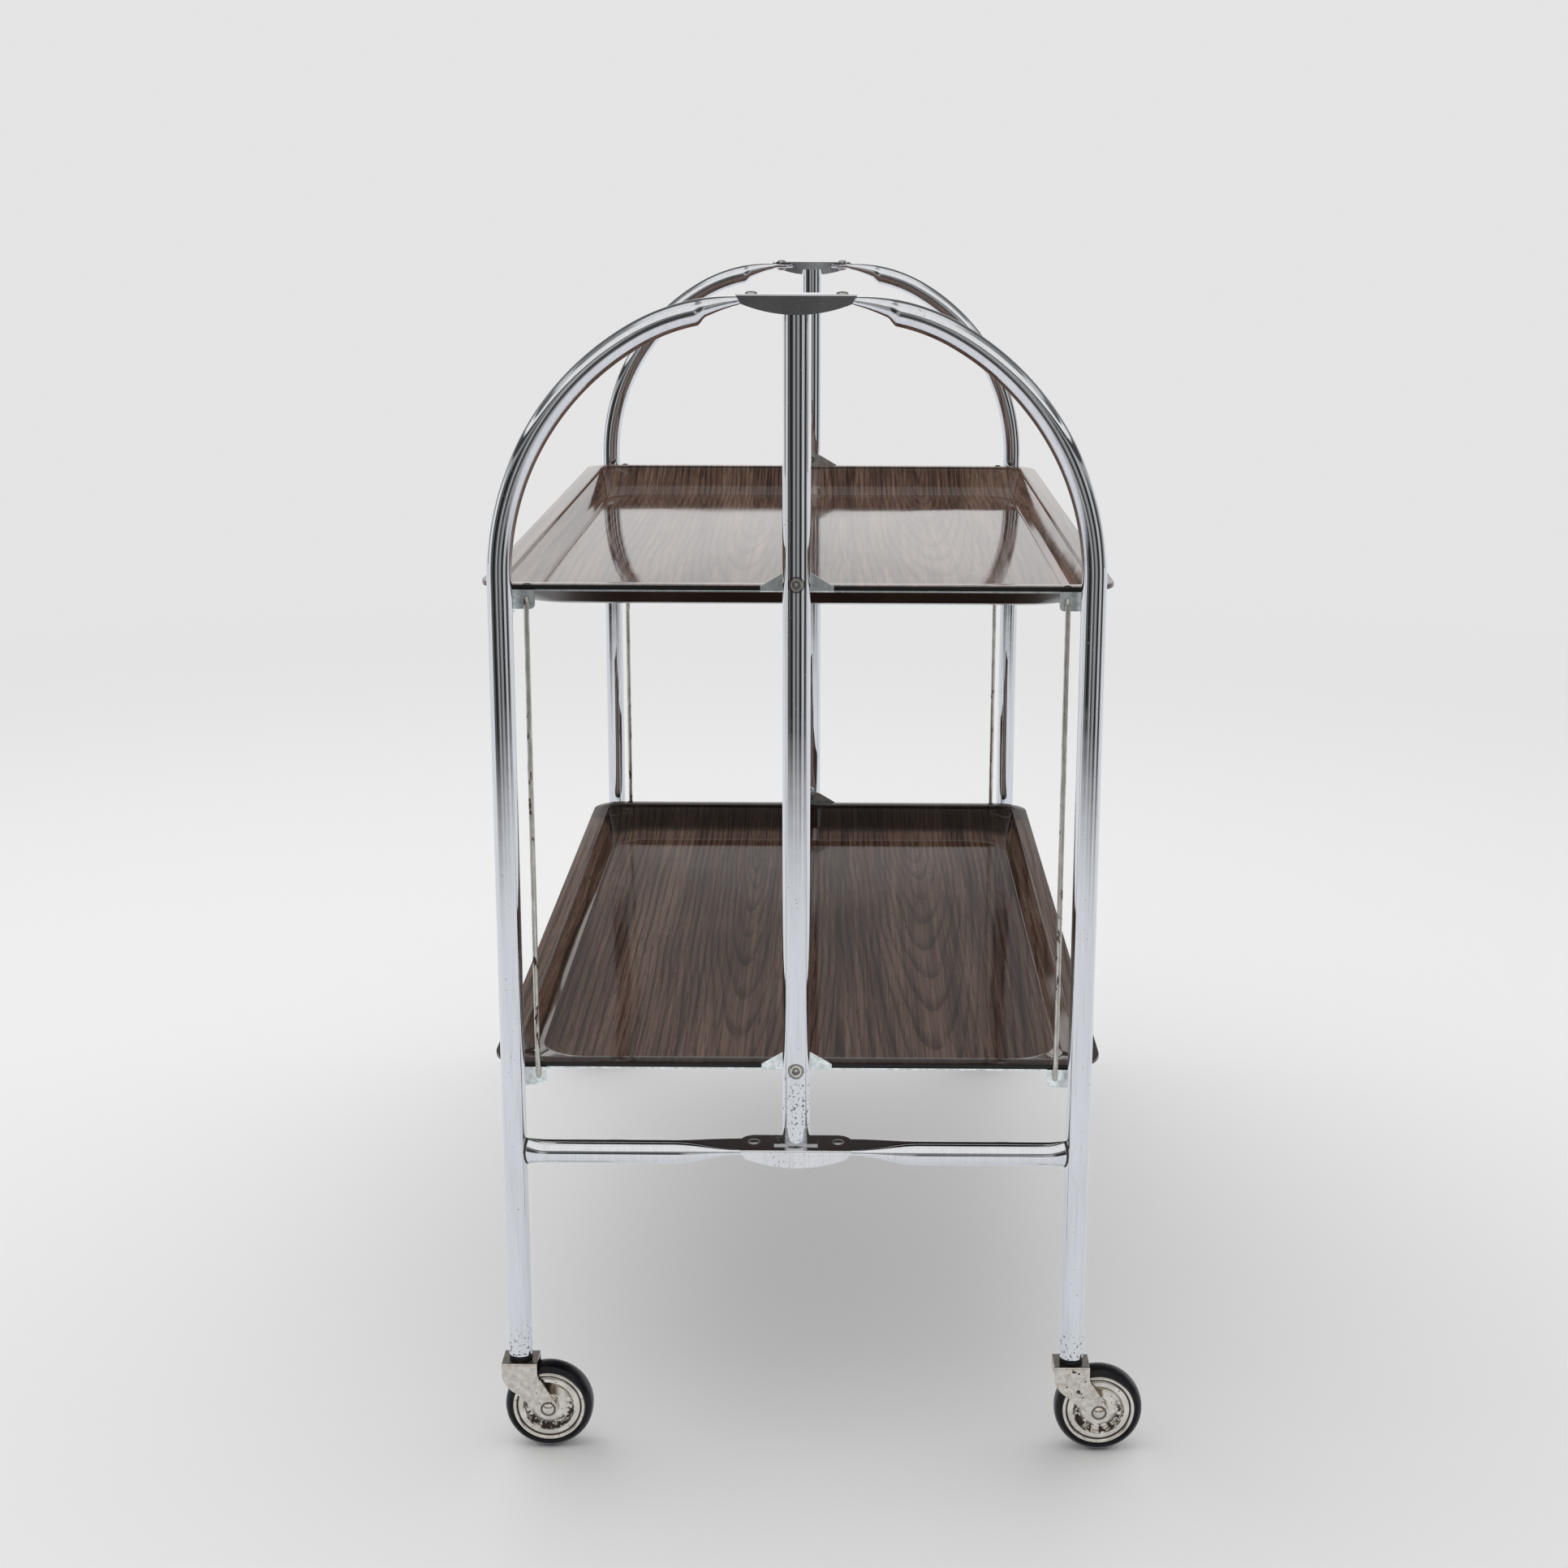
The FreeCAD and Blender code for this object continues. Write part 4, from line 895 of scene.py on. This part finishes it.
# %% Four rods
ROD_Y, ROD_TIP_Y = -363.65, -354.6
LINK_DROP = 14.0                   # from a tray pivot down to the holes of the rods
HIGH, LOW = PIVOT_Z["upper"] - LINK_DROP, PIVOT_Z["lower"] - LINK_DROP
for corner in CORNERS:
    path = [(LINK_X, ROD_TIP_Y, HIGH), (LINK_X, ROD_Y, HIGH), (LINK_X, ROD_Y, (HIGH + LOW) / 2),
            (LINK_X, ROD_Y, LOW), (LINK_X, ROD_TIP_Y, LOW)]
    rod = grown(corner + "_bent_rod", at_corner(path, corner), [(0, 1), (1, 2), (2, 3), (3, 4)], rod_tree,
                {"Radius": 1.75 * MM, "Bend": 2.4 * MM})
    finished(rod, corner + "_rod", rod_zinc, "zinc_rod", corner + "_link_rod")
print("rods", len(rod.data.polygons), "faces each")

# %% [markdown]
# ## Rivets, with Geometry Nodes
#
# The hinge rivets and the rail rivets come in rows of the same kind, so one of each is turned
# and the rest are instances. The tree takes loose points and a rivet, stands a rivet on each point
# and gives each its own turn and a slightly different size, from a fixed seed.
# One mesh is made for each group of four.

# %% A tree that sets a piece on every point
bench, doors = tree_with("set on points", [("Rivet", "NodeSocketObject"), ("Spread", "NodeSocketFloat"),
                                            ("Seed", "NodeSocketInt")])
master = bench.make("GeometryNodeObjectInfo", {}, {"Object": doors["Rivet"]}, output="Geometry")
spin = bench.make("FunctionNodeRandomValue", {"data_type": "FLOAT_VECTOR"},
                  {"Min": (0, 0, 0), "Max": (0, 0, math.tau), "Seed": doors["Seed"]})
least = 1 - doors["Spread"]
size = bench.make("FunctionNodeRandomValue", {"data_type": "FLOAT"},
                  {"Min": least, "Max": 1.0, "Seed": doors["Seed"]}, output=1)
set_on = bench.make("GeometryNodeInstanceOnPoints", {},
                    {"Points": doors["Geometry"], "Instance": master, "Rotation": spin, "Scale": size})
rivet_tree = end_with(bench, set_on, rivet)
dark_tree = rivet_tree.copy()
next(n for n in dark_tree.nodes if n.type == "SET_MATERIAL").inputs["Material"].default_value = dark_rivet
print("rivet trees take", list(doors))


# %% Turn one rivet about Z
def turned(name, outline, count=40):
    rings = []
    for step in range(count):
        a = math.tau * step / count
        rings.append([(r * math.cos(a), r * math.sin(a), z) for r, z in outline])
    return closed(name, skin(rings + [rings[0]], caps=False))


def domed(head_r, head_h, shank_r, length, tail_r, tail_h):
    """Outline of a rivet from the top of its head, at Z = 0 where the head sits, down to its tail."""
    head = [(0.0, head_h)] + [(head_r * math.sin(a), head_h * math.cos(a)) for a in
                              (math.radians(d) for d in (15, 30, 45, 60, 72, 82, 90))]
    tail = [(shank_r, -length), (tail_r, -length), (tail_r, -length - tail_h * 0.6),
            (tail_r * 0.85, -length - tail_h), (0.0, -length - tail_h)]
    return head + [(shank_r, 0.0)] + tail


# %% Hinge rivets and rail rivets
BRACKET_Z = (776.0, 221.0)         # tops of the two brackets
LIP_RIVET_Y = 357.3
hinge_master = turned("hinge rivet", domed(4.0, 1.3, 2.5, 5.8, 4.0, 2.0))
rail_master = turned("rail rivet", domed(2.75, 0.8, 1.5, 4.0, 2.25, 0.8))
for end, y in (("front", -END_Y), ("rear", END_Y)):
    seats = [(x, y, z) for z in BRACKET_Z for x in (-HINGE_X, HINGE_X)]
    made = grown(end + "_domed_rivets", seats, [], rivet_tree,
                 {"Rivet": hinge_master, "Spread": 0.02, "Seed": 4})
    finished(made, "frame", rivet, "rivet_metal", end + "_hinge_rivets", sharp=60)
for side in ("upper", "lower"):
    lip_z = PIVOT_Z[side] - LIP_DROP
    seats = [(x, y, lip_z) for y in (-LIP_RIVET_Y, LIP_RIVET_Y) for x in (-LINK_X, LINK_X)]
    made = grown(side + "_lip_rivets", seats, [], dark_tree,
                 {"Rivet": rail_master, "Spread": 0.02, "Seed": 7})
    finished(made, side + "_tray", dark_rivet, "dark_rivet", side + "_rail_rivets", sharp=60)
for master_piece in (hinge_master, rail_master):
    bpy.data.objects.remove(master_piece)
print("rivets", len(made.data.polygons), "faces in a tray's four")

# %% [markdown]
# ## Solids that stay
#
# Brackets, rails, forks, stems, axles, posts and bushes are already the right shape, so they only get
# a finish. Their names say what they are, and the last words of a name choose the finish.

# %% Finish the solids by name
BY_NAME = {"_post": chrome, "_foot": plated, "_bracket": plated, "_tray_pivots": pivot_rivet,
           "_pivot_spacers": zinc, "_rail": zinc, "_socket": bush, "_fork": nickel, "_stem": nickel,
           "_axle": nickel}
kept = [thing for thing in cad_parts.values() if not thing.hide_render]
for thing in kept:
    finish = next(m for ending, m in BY_NAME.items() if thing.name.endswith(ending))
    thing.data.materials.clear()
    thing.data.materials.append(finish)
print("solids kept", len(kept))

# %% [markdown]
# ## Floor, room and light
#
# Chrome shows its room, so the room is the real subject of this step: a pale wall behind, a pale floor,
# and a darker room in front with windows, furniture and a bright ceiling. The world draws it
# from the direction of a ray. Light Path tells rays apart. A glossy ray sees the room, and the camera
# sees plain pale ground. Every other ray sees a soft dome without colour, even overhead,
# bright low down behind and dim in front, so the shadow stays soft.

# %% The room as a world
PALE = 0.78
world = bpy.data.worlds.new("studio room")
bpy.context.scene.world = world
world.use_nodes = True
room = Bench(world.node_tree)
dx, dy, dz = room.split(room.make("ShaderNodeTexCoord", {}, {}, output="Generated"))
bearing = dx.maths("ARCTAN2", dx, dy * -1) / math.tau + 0.5
WALL = 0.95
# Each band is a bearing in degrees from the front of the trolley, and how bright the room is there.
bands = [(-180, WALL), (-126, WALL), (-112, 0.60), (-107, 0.10), (-102, 0.15), (-98, 0.95),
         (-83, 0.95), (-74, 0.30), (-69, 0.05), (-60, 0.16), (-53, 0.02), (-40, 0.02), (-28, 0.10),
         (-22, 0.40), (-15, 0.45), (-9, 0.07), (1, 0.06), (8, 0.34), (19, 0.36), (27, 0.04),
         (40, 0.01), (48, 0.55), (62, 0.60), (69, 0.05), (80, 0.02), (92, 0.30), (104, 0.50),
         (112, 0.85), (126, WALL), (180, WALL)]
strips = bearing.ramp([((degrees + 180) / 360, brightness) for degrees, brightness in bands])
print("bands round the room", len(bands))

# %% Higher up: a dim back wall, lines at the sides, and a bright ceiling in front
rings = dz.ramp([(0.0, 0.42), (0.27, 0.42), (0.29, 0.06), (0.36, 0.06), (0.38, 0.95), (0.43, 0.95),
                 (0.45, 0.10), (0.53, 0.16), (0.55, 0.60), (0.62, 0.60), (0.64, 0.22), (0.80, 0.30),
                 (0.86, 0.85), (1.0, 0.90)])
behind = dz.ramp([(0.0, 0.23), (0.45, 0.23), (0.60, 0.12), (0.93, 0.12), (1.0, 0.60)])
rings = room.mix(dy.smooth(0.25, 0.42), rings, behind)
front = (dy * -1).smooth(0.10, 0.45) * dz.smooth(0.36, 0.44)
high = room.mix(front, rings, (0.95, 0.95, 0.95))
seen = room.mix(dz.smooth(0.14, 0.29), strips, high)

# %% What glossy, other and camera rays see
around = room.mix((dy * -1).smooth(-0.25, 0.35), (2.6, 2.6, 2.6), (0.12, 0.12, 0.12))
dome = room.mix(dz.smooth(0.2, 0.8), around, (0.55, 0.55, 0.55))
from_eye, glossy = room.rays()
shown = room.mix(from_eye, room.mix(glossy, dome, seen), (PALE, PALE, PALE))
background = world.node_tree.nodes["Background"]
room.fill(background, {"Color": shown, "Strength": 1.0})
print("room", len(room.tree.nodes), "nodes")

# %% [markdown]
# The floor is one disc. Near the trolley it is a lit pale floor that keeps the shadow. Far out it fades
# into the ground that the camera sees, so no edge shows. Metal sees it a little bluer and brighter than
# it is lit. In front it opens for glossy rays, so that the tall tubes show the far side of the room
# below the horizon, as they do where a floor is cluttered.

# %% The floor
bpy.ops.mesh.primitive_circle_add(vertices=96, radius=6.0, fill_type="NGON")
floor = bpy.context.object
floor.name = "floor"
floor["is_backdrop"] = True
ground = Finish("pale floor")
gx, gy, _ = ground.axes()
ground.wear(Base_Color=(0.89, 0.89, 0.89), Roughness=0.75)
far = from_axis(gx, gy)
from_eye, glossy = ground.rays()
lit = Wire(ground, ground.shader.outputs[0])
plain = ground.make("ShaderNodeEmission", {}, {"Color": (PALE, PALE, PALE, 1)})
through = ground.make("ShaderNodeBsdfTransparent", {}, {})
front = from_axis(gx, gy + END_Y * MM)
open_to_room = front.smooth(1.1, 2.5) * (1 - gy.smooth(-0.9, 0.1)) * glossy
for_eye = ground.make("ShaderNodeMixShader", {}, {0: far.smooth(1.6, 3.4), 1: lit, 2: plain})
bright = ground.make("ShaderNodeEmission", {}, {"Color": (0.82, 0.85, 0.90, 1)})
mirrored = ground.make("ShaderNodeMixShader", {}, {0: 0.6, 1: lit, 2: bright})
for_metal = ground.make("ShaderNodeMixShader", {}, {0: open_to_room, 1: mirrored, 2: through})
both = ground.make("ShaderNodeMixShader", {}, {0: from_eye, 1: for_metal, 2: for_eye})
ground.tree.links.new(both.socket, ground.tree.nodes["Material Output"].inputs["Surface"])
floor.data.materials.append(ground.material)
print("floor", len(ground.tree.nodes), "nodes")


# %% The lamp overhead
def lamp(name, place, aim, size, power):
    light = bpy.data.lights.new(name, "AREA")
    light.shape, light.size, light.size_y, light.energy = "RECTANGLE", size[0], size[1], power
    thing = bpy.data.objects.new(name, light)
    bpy.context.scene.collection.objects.link(thing)
    thing.location = place
    thing.rotation_euler = (Vector(aim) - Vector(place)).to_track_quat("-Z", "Y").to_euler()
    thing.visible_glossy = False


lamp("overhead", (-0.4, 0.1, 2.6), (0, 0, 0.3), (2.6, 2.6), 19)
print("lamps", [light.name for light in bpy.data.lights])

# %% [markdown]
# ## Camera
#
# The camera stands a good step back and a little above the upper tray, with a long lens, so the two
# end frames nearly line up. Its three axes are built from pitch, yaw and roll, which is easier to check
# than a rotation copied as numbers.

# %% The camera
PIXELS, FOCUS, MIDDLE = 1932, 2968.86, (1013.30, 962.52)   # a square picture, its lens and its axis
PITCH, YAW, ROLL = 0.23736, -0.00727, 0.00346
STAND = Vector((0.02768, -1.88474, 0.83262))
ahead = Vector((math.sin(YAW) * math.cos(PITCH), math.cos(YAW) * math.cos(PITCH), -math.sin(PITCH)))
right = Vector((math.cos(YAW), -math.sin(YAW), 0))
above = right.cross(ahead)
axis_x = right * math.cos(ROLL) + above * math.sin(ROLL)
axis_y = above * math.cos(ROLL) - right * math.sin(ROLL)
eye = bpy.data.cameras.new("eye")
camera = bpy.data.objects.new("eye", eye)
bpy.context.scene.collection.objects.link(camera)
columns = (axis_x, axis_y, -ahead, STAND)
camera.matrix_world = Matrix([[column[i] for column in columns] for i in range(3)] + [[0, 0, 0, 1]])
eye.sensor_width, eye.lens = 36.0, FOCUS * 36.0 / PIXELS
eye.shift_x, eye.shift_y = -(MIDDLE[0] - PIXELS / 2) / PIXELS, (MIDDLE[1] - PIXELS / 2) / PIXELS
bpy.context.scene.camera = camera
bpy.context.scene.view_settings.view_transform = "Standard"
print("lens", round(eye.lens, 2), "mm")

# %% [markdown]
# ## Compare the boxes
#
# A rebuilt mesh should not outgrow the solids it stands for, so the difference between the two boxes is
# printed.

# %% Measure both boxes and print their difference
shown_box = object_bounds()
differences = [(a - b) * 1000 for pair in zip(solid_box, shown_box) for a, b in zip(*pair)]
print("size difference, mm", [round(difference, 2) for difference in differences])
